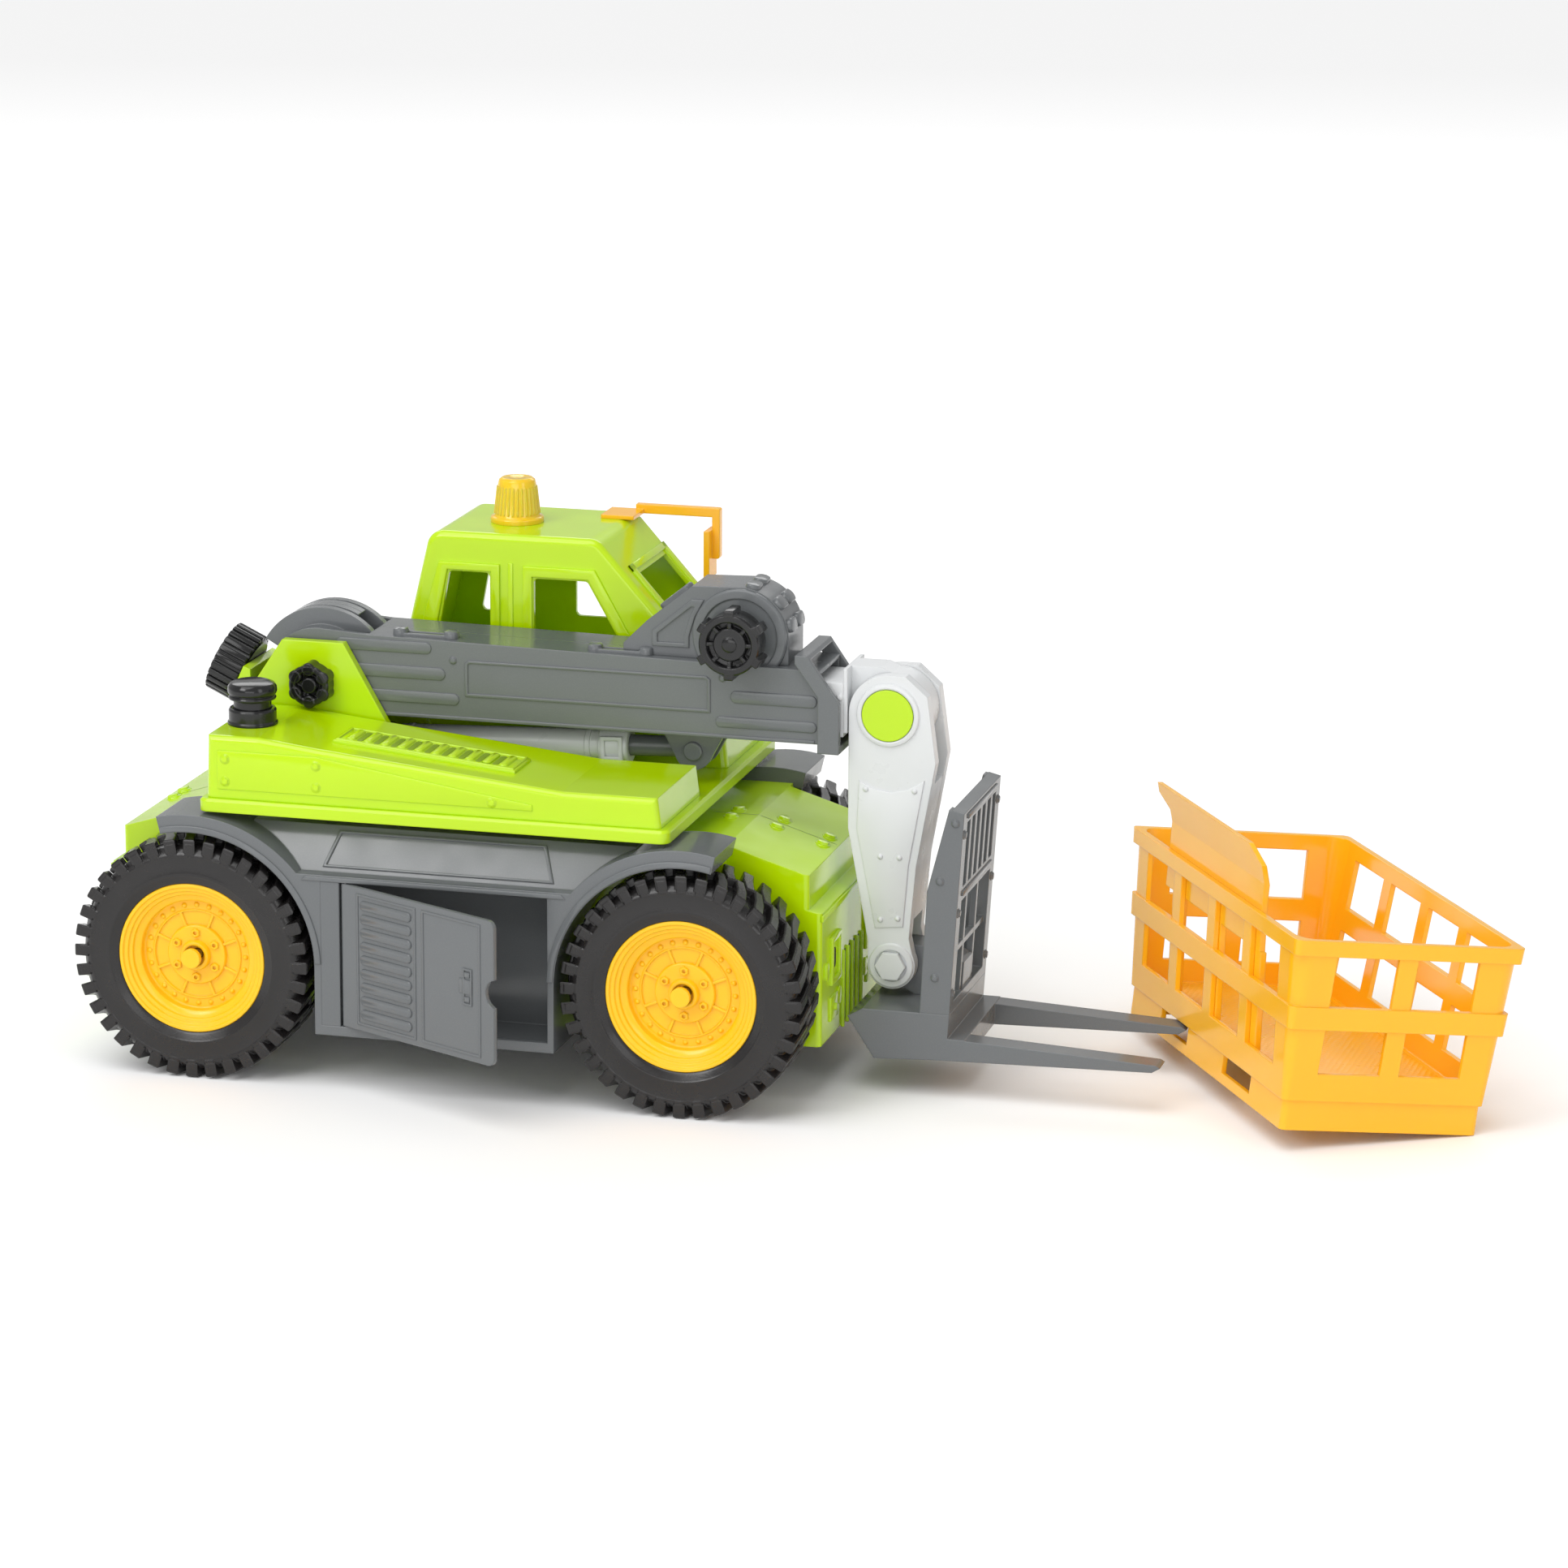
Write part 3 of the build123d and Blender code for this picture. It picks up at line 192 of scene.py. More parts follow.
def moulded(name, colour, roughness, grain_depth=0.02, drift=0.05, flake=0.0, edge_light=0.12,
            ior=1.5, coat=0.0, transmission=0.0, subsurface=0.0, dimples=0.0):
    """Injection moulded plastic: a nearly flat colour with slight flow marks, fine mould grain,
    rounded edges with a painted highlight, and roughness that wanders where it was handled."""
    material, tree, place = new_finish(name)
    # Flow marks: the melt cools unevenly, so the colour drifts over a few centimetres.
    flow = add(tree, "ShaderNodeTexNoise", {
        "Vector": place, "Scale": per_mm(FLOW_MARKS), "Detail": 3.0, "Roughness": 0.55})
    body = add(tree, "ShaderNodeMix", {
        "Factor": flow.outputs["Fac"], 6: tint(colour, 1 - drift),
        7: tint(colour, 1 + drift, drift * 0.02),
    }, data_type="RGBA").outputs[2]
    if flake:
        # Pearl flakes are finer than a hair; they are drawn 0.8 mm apart so that they show.
        speck = add(tree, "ShaderNodeTexVoronoi", {"Vector": place, "Scale": per_mm(PEARL_FLAKES)})
        bright = add(tree, "ShaderNodeMapRange", {
            "Value": speck.outputs["Distance"], "From Min": 0.0, "From Max": 0.55,
            "To Min": flake, "To Max": 0.0})
        body = add(tree, "ShaderNodeMix", {
            "Factor": bright.outputs["Result"], 6: body, 7: tint(colour, 1.9, 0.05),
        }, data_type="RGBA").outputs[2]
    # Rounded edges: where the softened normal leaves the true one, the colour is painted paler, a
    # painted highlight along the edges.
    soft = add(tree, "ShaderNodeBevel", {"Radius": sizes().edge_radius},
               samples=6).outputs["Normal"]
    true = add(tree, "ShaderNodeNewGeometry").outputs["Normal"]
    agree = add(tree, "ShaderNodeVectorMath", {0: soft, 1: true}, operation="DOT_PRODUCT")
    edge_highlight = add(tree, "ShaderNodeMapRange", {
        "Value": agree.outputs["Value"], "From Min": 0.72, "From Max": 0.99,
        "To Min": edge_light, "To Max": 0.0})
    edge_highlighted = add(tree, "ShaderNodeMix", {
        "Factor": edge_highlight.outputs["Result"], 6: body, 7: tint(colour, 1.25, 0.1)}, data_type="RGBA")
    # Handling marks: broad patches that are slightly more or less glossy.
    patch = add(tree, "ShaderNodeTexNoise",
                {"Vector": place, "Scale": per_mm(HAND_MARKS), "Detail": 4.0})
    gloss = add(tree, "ShaderNodeMapRange", {
        "Value": patch.outputs["Fac"], "From Min": 0.3, "From Max": 0.7,
        "To Min": max(0.04, roughness - 0.04), "To Max": roughness + 0.05})
    # Mould grain, with shallow sink marks under it.
    grain = add(tree, "ShaderNodeTexNoise",
                {"Vector": place, "Scale": per_mm(MOULD_GRAIN), "Detail": 2.0})
    hollow = add(tree, "ShaderNodeTexNoise",
                 {"Vector": place, "Scale": per_mm(SINK_MARKS), "Detail": 1.0})
    sunk = add(tree, "ShaderNodeBump", {
        "Height": hollow.outputs["Fac"], "Distance": 0.5 * MM, "Strength": 0.35, "Normal": soft})
    bump = add(tree, "ShaderNodeBump", {
        "Height": grain.outputs["Fac"], "Distance": grain_depth * MM, "Strength": 0.6,
        "Normal": sunk.outputs["Normal"]})
    if dimples:
        cells = add(tree, "ShaderNodeTexVoronoi", {
            "Vector": place, "Scale": per_mm(dimples), "Randomness": 0.15})
        bump = add(tree, "ShaderNodeBump", {
            "Height": cells.outputs["Distance"], "Distance": 0.5 * MM, "Strength": 0.8,
            "Normal": bump.outputs["Normal"]})
    shader = add(tree, "ShaderNodeBsdfPrincipled", {
        "Base Color": edge_highlighted.outputs[2], "Roughness": gloss.outputs["Result"],
        "Normal": bump.outputs["Normal"], "IOR": ior, "Coat Weight": coat, "Coat Roughness": 0.12,
        "Transmission Weight": transmission, "Subsurface Weight": subsurface,
        "Subsurface Scale": BLEED * MM})
    add(tree, "ShaderNodeOutputMaterial", {"Surface": shader.outputs["BSDF"]})
    return material


@cache
def lime_abs():
    """Glossy ABS body panels: bright and saturated, with clear soft reflections."""
    return moulded("Lime gloss ABS, moulded", colours().lime, 0.14, drift=0.03, subsurface=0.04,
                   coat=0.15)


@cache
def grey_abs():
    """Pearly grey ABS: satin, with a faint metallic glitter and a stronger painted highlight on its
    edges.
    """
    return moulded("Pearl grey ABS, moulded", colours().grey, 0.18, flake=0.05, drift=0.04,
                   edge_light=0.2)


@cache
def pale_abs():
    """Pale grey ABS: satin, nearly white."""
    return moulded("Pale grey ABS, moulded", colours().pale, 0.3, drift=0.02)


@cache
def black_abs():
    """Black ABS of the knobs: deep, glossy, with a stronger painted highlight on the rib edges."""
    return moulded("Black gloss ABS, moulded", colours().black, 0.17, drift=0.1, edge_light=0.25,
                   grain_depth=0.03)


@cache
def rim_plastic():
    """Yellow polypropylene wheel discs: waxy gloss with light bleeding through the thin lips."""
    return moulded("Yellow polypropylene, moulded", colours().rim, 0.2, drift=0.04,
                   subsurface=0.12)


@cache
def basket_plastic():
    """Yellow-orange polypropylene: glossy and faintly translucent."""
    return moulded("Basket polypropylene, moulded", colours().basket, 0.16, drift=0.04,
                   subsurface=0.1, coat=0.1)


@cache
def basket_floor_plastic():
    """The same plastic with the floor's fine anti-slip dimples, 2.6 mm apart."""
    return moulded("Basket polypropylene, dimpled", colours().basket, 0.3, drift=0.04,
                   subsurface=0.1,
                   dimples=2.6)


@cache
def amber_lens():
    """Amber polycarbonate of the beacon: clear enough to glow from within."""
    return moulded("Amber polycarbonate, moulded", colours().amber, 0.12, ior=1.58,
                   transmission=0.1,
                   subsurface=0.4)


@cache
def seam_shadow():
    """Bottom of a groove between two mouldings and of the gaps between vents: the same plastic
    darkened as painted shade.
    """
    return moulded("Lime ABS, groove", colours().groove, 0.45)


@cache
def slot_shadow():
    """Bottom of a deep slot: dark and dull, painted shade."""
    return moulded("Dark slot, moulded", colours().slot, 0.7, drift=0.1)


@cache
def tyre_rubber():
    """Soft PVC tyre: dark, a greasy sheen on the side walls and dust in the tread."""
    material, tree, place = new_finish("Tyre PVC, moulded")
    dust = add(tree, "ShaderNodeTexNoise", {
        "Vector": place, "Scale": per_mm(DUST), "Detail": 6.0, "Roughness": 0.6}).outputs["Fac"]
    tone = add(tree, "ShaderNodeMix", {
        "Factor": dust, 6: tint(colours().tyre, 0.75), 7: tint(colours().tyre, 1.35, 0.002),
    }, data_type="RGBA")
    gloss = add(tree, "ShaderNodeMapRange", {
        "Value": dust, "From Min": 0.3, "From Max": 0.7, "To Min": 0.18, "To Max": 0.32})
    grain = add(tree, "ShaderNodeTexNoise",
                {"Vector": place, "Scale": per_mm(TYRE_GRAIN), "Detail": 3.0})
    soft = add(tree, "ShaderNodeBevel", {"Radius": 0.7 * MM}, samples=4)
    bump = add(tree, "ShaderNodeBump", {
        "Height": grain.outputs["Fac"], "Distance": 0.05 * MM, "Strength": 0.7,
        "Normal": soft.outputs["Normal"]})
    shader = add(tree, "ShaderNodeBsdfPrincipled",
                 {"Base Color": tone.outputs[2], "Roughness": gloss.outputs["Result"],
                   "Normal": bump.outputs["Normal"], "IOR": 1.5})
    add(tree, "ShaderNodeOutputMaterial", {"Surface": shader.outputs["BSDF"]})
    return material


@cache
def plated_steel():
    """Zinc plated steel of pins, axles and screws: grey metal with drawn streaks."""
    material, tree, place = new_finish("Zinc plated steel, drawn")
    along = add(tree, "ShaderNodeMapping", {"Vector": place, "Scale": (1.0, 0.08, 1.0)})
    streak = add(tree, "ShaderNodeTexNoise", {
        "Vector": along.outputs["Vector"], "Scale": per_mm(DRAW_LINES),
        "Detail": 4.0}).outputs["Fac"]
    tone = add(tree, "ShaderNodeMix", {
        "Factor": streak, 6: tint(colours().steel, 0.8), 7: tint(colours().steel)},
               data_type="RGBA")
    gloss = add(tree, "ShaderNodeMapRange", {
        "Value": streak, "From Min": 0.3, "From Max": 0.7, "To Min": 0.22, "To Max": 0.4})
    shader = add(tree, "ShaderNodeBsdfPrincipled", {
        "Base Color": tone.outputs[2], "Roughness": gloss.outputs["Result"], "Metallic": 1.0})
    add(tree, "ShaderNodeOutputMaterial", {"Surface": shader.outputs["BSDF"]})
    return material


def studio_paper():
    """Matt white paper sweep: almost even, with the faintest tooth."""
    material, tree, place = new_finish("White paper, matt")
    tooth = add(tree, "ShaderNodeTexNoise",
                {"Vector": place, "Scale": per_mm(PAPER_TOOTH), "Detail": 2.0})
    bump = add(tree, "ShaderNodeBump", {
        "Height": tooth.outputs["Fac"], "Distance": 0.02 * MM, "Strength": 0.3})
    shader = add(tree, "ShaderNodeBsdfPrincipled",
                 {"Base Color": tint(colours().floor), "Roughness": 0.95,
                   "Normal": bump.outputs["Normal"], "Specular IOR Level": 0.1})
    add(tree, "ShaderNodeOutputMaterial", {"Surface": shader.outputs["BSDF"]})
    return material


SLOT_FINISH = {
    "lime": lime_abs, "grey": grey_abs, "pale_grey": pale_abs, "black": black_abs,
    "rim_yellow": rim_plastic,
    "basket_yellow": basket_plastic, "steel": plated_steel, "tyre": tyre_rubber,
    "amber": amber_lens,
}


# ---- shapes, all in millimetres ---------------------------------------------------------------
def to_shape(bm):
    """Turns a bmesh into a reusable mesh and frees it."""
    bmesh.ops.recalc_face_normals(bm, faces=bm.faces)
    shape = bpy.data.meshes.new("shape")
    bm.to_mesh(shape)
    bm.free()
    return shape


def at(origin, side):
    """Matrix that puts a shape's right, up and outward directions on a surface at a point."""
    right, up = (Vector(v) for v in side)
    matrix = Matrix((right, up, right.cross(up))).transposed().to_4x4()
    matrix.translation = Vector(origin)
    return matrix


def moved(x, y, z=0):
    """Matrix of a plain shift."""
    return Matrix.Translation((x, y, z))


def box(left, right, low, high):
    """Corners of a rectangle between four limits."""
    return [(left, low), (right, low), (right, high), (left, high)]


def oblong(half_x, half_y):
    """Corners of a rectangle about the origin."""
    return box(-half_x, half_x, -half_y, half_y)


def flipped(points, flip):
    """The outline as it is seen from the near side (flip 1) or the far side (flip -1)."""
    return [(flip * x, y) for x, y in points]


def stamp(bm, shape, place):
    """Adds a placed copy of a shape to a bmesh."""
    copy = shape.copy()
    copy.transform(place)
    bm.from_mesh(copy)
    bpy.data.meshes.remove(copy)


def top_edges(bm, height):
    """Edges that lie in the top of a raised shape."""
    return [e for e in bm.edges if all(v.co.z > height - 0.001 for v in e.verts)]


def soften_edges(bm, edges, offset, segments=2):
    """Rounds the given edges over."""
    bmesh.ops.bevel(bm, geom=edges, offset=offset, segments=segments, affect="EDGES",
                    profile=0.5, material=-1)


def raised(points, height, soften=0.5, sink=SINK, segments=2):
    """Raised panel with the given outline and a softened upper edge."""
    bm = bmesh.new()
    face = bm.faces.new([bm.verts.new((x, y, -sink)) for x, y in points])
    grown = bmesh.ops.extrude_face_region(bm, geom=[face])
    top = [v for v in grown["geom"] if isinstance(v, bmesh.types.BMVert)]
    bmesh.ops.translate(bm, verts=top, vec=(0, 0, height + sink))
    if soften:
        soften_edges(bm, top_edges(bm, height), soften, segments)
    return to_shape(bm)


def pill(length, width, height, soften=0.6):
    """Long rounded pad, centred, lying along its right direction."""
    bm = bmesh.new()
    bmesh.ops.create_cube(bm, size=1)
    bmesh.ops.scale(bm, vec=(length, width, height + SINK), verts=bm.verts)
    bmesh.ops.translate(bm, vec=(0, 0, (height - SINK) / 2), verts=bm.verts)
    corners = [e for e in bm.edges if abs(e.verts[0].co.z - e.verts[1].co.z) > 0.1]
    soften_edges(bm, corners, min(length, width) * 0.49, segments=6)
    soften_edges(bm, top_edges(bm, height), min(soften, height * 0.9))
    return to_shape(bm)


def ring_panel(outer, inner, height, soften=0.5):
    """Raised frame between two outlines that have the same number of corners."""
    bm = bmesh.new()
    loops = []
    for points in (outer, inner):
        verts = [bm.verts.new((x, y, -SINK)) for x, y in points]
        loops += [bm.edges.new((verts[i], verts[(i + 1) % len(verts)])) for i in range(len(verts))]
    flat = bmesh.ops.bridge_loops(bm, edges=loops)["faces"]
    grown = bmesh.ops.extrude_face_region(bm, geom=flat)
    top = [v for v in grown["geom"] if isinstance(v, bmesh.types.BMVert)]
    bmesh.ops.translate(bm, verts=top, vec=(0, 0, height + SINK))
    bmesh.ops.recalc_face_normals(bm, faces=bm.faces)
    rim = [e for e in top_edges(bm, height) if e.calc_face_angle(0) > 0.5]
    soften_edges(bm, rim, soften)
    return to_shape(bm)


def bolt(radius, height, sides=6):
    """Moulded bolt head with a chamfered crown on a low washer."""
    bm = bmesh.new()
    bmesh.ops.create_cone(bm, cap_ends=True, segments=sides, radius1=radius, radius2=radius,
                          depth=height + SINK,
                          matrix=moved(0, 0, (height - SINK) / 2))
    soften_edges(bm, top_edges(bm, height), radius * 0.18)
    bmesh.ops.create_cone(bm, cap_ends=True, segments=20, radius1=radius * 1.35,
                          radius2=radius * 1.2,
                          depth=SINK + height * 0.3, matrix=moved(0, 0, (height * 0.3 - SINK) / 2))
    return to_shape(bm)


def dome(radius, height):
    """Low rivet head."""
    bm = bmesh.new()
    bmesh.ops.create_uvsphere(bm, u_segments=12, v_segments=8, radius=radius)
    bmesh.ops.scale(bm, vec=(1, 1, height / radius), verts=bm.verts)
    bmesh.ops.bisect_plane(bm, geom=bm.verts[:] + bm.edges[:] + bm.faces[:], plane_co=(0, 0, -0.1),
                           plane_no=(0, 0, 1), clear_inner=True)
    bmesh.ops.holes_fill(bm, edges=bm.edges, sides=0)
    return to_shape(bm)


def lathe(profile, steps=96):
    """Solid turned about its outward direction from a closed run of (radius, height) pairs."""
    bm = bmesh.new()
    verts = [bm.verts.new((r, 0, z)) for r, z in profile]
    edges = [bm.edges.new((verts[i], verts[(i + 1) % len(verts)])) for i in range(len(verts))]
    bmesh.ops.spin(bm, geom=verts + edges, cent=(0, 0, 0), axis=(0, 0, 1), angle=2 * pi,
                   steps=steps, use_merge=True)
    bmesh.ops.remove_doubles(bm, verts=bm.verts, dist=0.001)
    return to_shape(bm)


def around(count, radius=0.0, start=0.0):
    """Matrices spaced evenly round a circle, each with its right direction pointing outwards."""
    for i in range(count):
        turn = Matrix.Rotation(start + 2 * pi * i / count, 4, "Z")
        yield turn @ moved(radius, 0, 0)


def piece(name, bm, finish, body, replaces=(), angle=32):
    """Makes a finished piece from a bmesh in millimetres and puts it on its body and slot."""
    bmesh.ops.recalc_face_normals(bm, faces=bm.faces)
    bmesh.ops.scale(bm, vec=(MM, MM, MM), verts=bm.verts)
    for face in bm.faces:
        face.smooth = True
    for edge in bm.edges:
        edge.smooth = len(edge.link_faces) == 2 and edge.calc_face_angle(0) < radians(angle)
    mesh = bpy.data.meshes.new(name)
    bm.to_mesh(mesh)
    bm.free()
    mesh.materials.append(finish)
    obj = bpy.data.objects.new(name, mesh)
    bpy.context.scene.collection.objects.link(obj)
    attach(obj, body)
    if replaces:
        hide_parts(*replaces)
    return obj


# ---- places on the object, in millimetres -----------------------------------------------------
WHEEL_RADIUS = 60
HALF_BASE = 122.8             # half the distance between the axles
TYRE_MIDDLE = 89.0            # distance of a tyre's middle plane from the centreline
NOSE = 180                    # distance of the hull's ends from its middle
SKIRT_SIDE = 104.5            # outer faces, as distances from the centreline
POD_SIDE = 98
CARRIAGE_SIDE = 39.5
BOOM_SIDE = 20.5
ARM_SIDE = 16
CAB_NEAR, CAB_MIDDLE, CAB_FAR = 25.5, 67.5, 100.5
PIVOT = (-85.5, 182.0)        # boom pin
WINDING = (127, 215.7)        # shaft of the winding knob
LUG_PIN = (102.3, 156.1)      # pin at the lift cylinder's upper end
CYLINDER_PIN = (-58, 149.5)   # pin at its lower end
ARM_HEAD, ARM_FOOT = (201, 182), (203.8, 57.8)
BUTTON = (-102.5, -68)


# ---- wheels -----------------------------------------------------------------------------------
WHEELS = {
    "front_near": (HALF_BASE, -1), "front_far": (HALF_BASE, 1),
    "rear_near": (-HALF_BASE, -1), "rear_far": (-HALF_BASE, 1),
}


def wheel_place(x, sign):
    """Wheel frame: outward direction along the axle, origin in the tyre's middle plane."""
    return at((x, sign * TYRE_MIDDLE, WHEEL_RADIUS), NEAR if sign < 0 else FAR)


def tyre_shape():
    """Tyre with bead, bulged side walls, rings and two staggered rows of slanted blocks."""
    crown = WHEEL_RADIUS - sizes().tread_depth / MM
    wall = [(37.2, 15.2), (38.4, 16.1), (41, 16.6), (41.6, 17.0), (43.0, 17.0), (43.6, 16.8),
            (47, 17.0), (50.5, 16.7),
            (51.1, 16.9), (52.3, 16.6), (53.4, 15.8), (crown - 0.6, 14.0), (crown, 12.2)]
    profile = wall + [(r, -h) for r, h in reversed(wall)]
    bm = bmesh.new()
    stamp(bm, lathe(profile, steps=144), Matrix.Identity(4))
    block = raised([(-16.9, -3.3), (-16.9, 2.5), (-8.5, 4.6), (0.8, 8.3), (2.2, 3.8), (-7, -0.7)],
                   sizes().tread_depth / MM - 0.45, soften=0.6, sink=3.0, segments=1)
    lug = raised([(-3.2, -2.6), (3.2, -2.3), (3.2, 2.3), (-3.2, 2.0)], 0.9, soften=0.4, sink=1.2,
                 segments=1)
    count = sizes().tread_blocks
    for row, flip in ((0, 1), (0.5, -1)):
        for i in range(count):
            angle = 2 * pi * (i + row) / count
            spin = Matrix.Rotation(angle, 4, "Z")
            # The block's own directions: along the axle, round the tyre, and outwards.
            seat = at((crown, 0, 0), ((0, 0, -flip), (0, flip, 0)))
            stamp(bm, block, spin @ seat)
            side = at((54.2, -0.3 * flip, 16.1 * flip), ((1, 0, 0), (0, flip, 0)))
            stamp(bm, lug, spin @ side)
    return to_shape(bm)


def rim_shape():
    """Wheel disc: stepped lip, deep recess, rivet ring, ribs, hub plate, nuts and axle boss."""
    profile = [
        (36.9, -16), (37.2, 14.9), (36.8, 15.5), (35.4, 15.5), (34.9, 14.5), (33.2, 14.3),
        (32.8, 13.2), (31.2, 13.0),
        (30.8, 11.6), (28.4, 10.9), (27.7, 10.2), (27.5, 7.0), (26.9, 6.4), (22.6, 6.6),
        (22.3, 7.3), (21.7, 7.3),
        (21.4, 6.0), (15.0, 6.0), (14.7, 8.0), (14.2, 8.4), (7.6, 8.4), (7.2, 11.2), (6.8, 11.7),
        (5.5, 11.7),
        (5.1, 11.2), (5.1, 6.5), (2.7, 6.0), (2.7, -19), (8.5, -19), (9.0, -18), (9.0, 4.0),
        (24, 4.0), (33.6, -2),
        (34.2, -16),
    ]
    bm = bmesh.new()
    stamp(bm, lathe(profile, steps=96), Matrix.Identity(4))
    rivet = dome(1.25, 1.1)
    for place in around(sizes().rivets, 24.6):
        stamp(bm, rivet, place @ moved(0, 0, 6.5))
    spoke = raised(oblong(3.6, 0.7), 1.3, soften=0.3)
    for place in around(sizes().spokes, 18.2, radians(22.5)):
        stamp(bm, spoke, place @ moved(0, 0, 6.0))
    nut = lathe([(2.3, -0.4), (2.3, 1.3), (1.9, 1.7), (1.0, 1.7), (1.0, 0.4), (0.02, 0.4),
                 (0.02, -0.4)], steps=6)
    for place in around(6, 11.1, radians(30)):
        stamp(bm, nut, place @ moved(0, 0, 8.4))
    return to_shape(bm)


class FORKLIFT_OT_tyres(bpy.types.Operator):
    """Builds the four treaded tyres."""

    bl_idname = "forklift.tyres"
    bl_label = "Tyres"

    def execute(self, context):
        shape = tyre_shape()
        for spot, (x, sign) in WHEELS.items():
            bm = bmesh.new()
            stamp(bm, shape, wheel_place(x, sign))
            piece("tread_" + spot, bm, tyre_rubber(), "wheel_" + spot, ["tyre_" + spot])
        return {"FINISHED"}


class FORKLIFT_OT_rims(bpy.types.Operator):
    """Builds the four wheel discs with their rivets, ribs and nuts."""

    bl_idname = "forklift.rims"
    bl_label = "Rims"

    def execute(self, context):
        shape = rim_shape()
        for spot, (x, sign) in WHEELS.items():
            bm = bmesh.new()
            stamp(bm, shape, wheel_place(x, sign))
            piece("disc_" + spot, bm, rim_plastic(), "wheel_" + spot,
                  ["rim_" + spot])
        return {"FINISHED"}


# ---- side doors and skirts --------------------------------------------------------------------
DOOR_HINGE = (-44.5, 102.7)
DOOR_OPEN = radians(27)


def door_place(sign):
    """Frame on a door's outer face: origin at the foot of its hinge line, right along the leaf."""
    angle = DOOR_OPEN if sign < 0 else 0.0
    out = Vector((-sin(angle), sign * cos(angle), 0))
    right = Vector((cos(angle), sign * sin(angle), 0))
    origin = Vector((DOOR_HINGE[0], sign * DOOR_HINGE[1], 32.2)) + out * 1.8
    side = (right, Vector((0, 0, 1))) if sign < 0 else (-right, Vector((0, 0, 1)))
    return at(origin, side), 1 if sign < 0 else -1


class FORKLIFT_OT_doors(bpy.types.Operator):
    """Adds pressed louvres, panels and the latch to both side doors."""

    bl_idname = "forklift.doors"
    bl_label = "Doors"

    def execute(self, context):
        high = sizes().relief / MM
        count = sizes().louvres
        for sign, name in ((-1, "near"), (1, "far")):
            place, flip = door_place(sign)
            bm = bmesh.new()

            def put(shape, x, y):
                stamp(bm, shape, place @ moved(flip * x, y))

            def panel(x_low, x_high):
                half = (x_high - x_low) / 2
                points = box(-half, half, -32.6, 32.6)
                inner = box(-half + 1.3, half - 1.3, -31.3, 31.3)
                put(ring_panel(points, inner, high * 0.7, 0.25), (x_low + x_high) / 2, 35.4)

            panel(9.5, 49.5)
            panel(53.5, 92.5)
            louvre = pill(34.5, 4.9, high * 1.5, 0.9)
            step = 54.0 / (count - 1)
            for i in range(count):
                put(louvre, 29.4, 8.6 + i * step)
            put(ring_panel(oblong(3, 9), oblong(2, 8), high, 0.2), 84, 36)
            put(raised(box(-5.4, 3, -3.6, 3.6), high * 0.8, 0.3), 84, 36)
            put(raised(box(-1.6, 1.6, -7.2, -4.8), high * 1.3, 0.2), 84, 36)
            put(raised(box(-1.6, 1.6, 4.8, 7.2), high * 1.3, 0.2), 84, 36)
            piece("door_relief_" + name, bm, grey_abs(), "door_leaf_" + name)
        return {"FINISHED"}


def arc_points(x, z, radius, start, end, steps):
    """Points along an arc in side view, angles in degrees."""
    turns = [radians(start + (end - start) * i / steps) for i in range(steps + 1)]
    return [(x + radius * cos(turn), z + radius * sin(turn)) for turn in turns]


class FORKLIFT_OT_skirts(bpy.types.Operator):
    """Adds the fender lips and the ledge's ribs to both skirts."""

    bl_idname = "forklift.skirts"
    bl_label = "Skirts"

    def execute(self, context):
        for sign, name in ((-1, "near"), (1, "far")):
            side = NEAR if sign < 0 else FAR
            bm = bmesh.new()
            for x in (HALF_BASE, -HALF_BASE):
                start, end = (178, 77) if x > 0 else (2, 103)
                outer = arc_points(0, 0, 66.2, start, end, 28)
                inner = arc_points(0, 0, 63.2, start, end, 28)
                outline = [(p[0] * -sign, p[1]) for p in outer + inner[::-1]]
                stamp(bm, raised(outline, 0.8, 0.3),
                      at((x, sign * SKIRT_SIDE, WHEEL_RADIUS), side))
            edge = [(-66, 0), (66, 0), (64, 2.2), (-64, 2.2)]
            stamp(bm, raised(edge, 0.6, 0.3), at((0, sign * SKIRT_SIDE, 103.6), side))
            fall = Vector((0, -sign * 11, 20.5)).normalized()
            slope = at((0, sign * 91.5, 116.75), ((-sign, 0, 0), fall))
            outer = [(-58, -9.5), (58, -9.5), (52, 9), (-52, 9)]
            inner = [(-56, -8.2), (56, -8.2), (50.6, 7.7), (-50.6, 7.7)]
            stamp(bm, ring_panel(outer, inner, 0.9, 0.3), slope)
            piece("skirt_relief_" + name, bm, grey_abs(), "chassis")
        return {"FINISHED"}


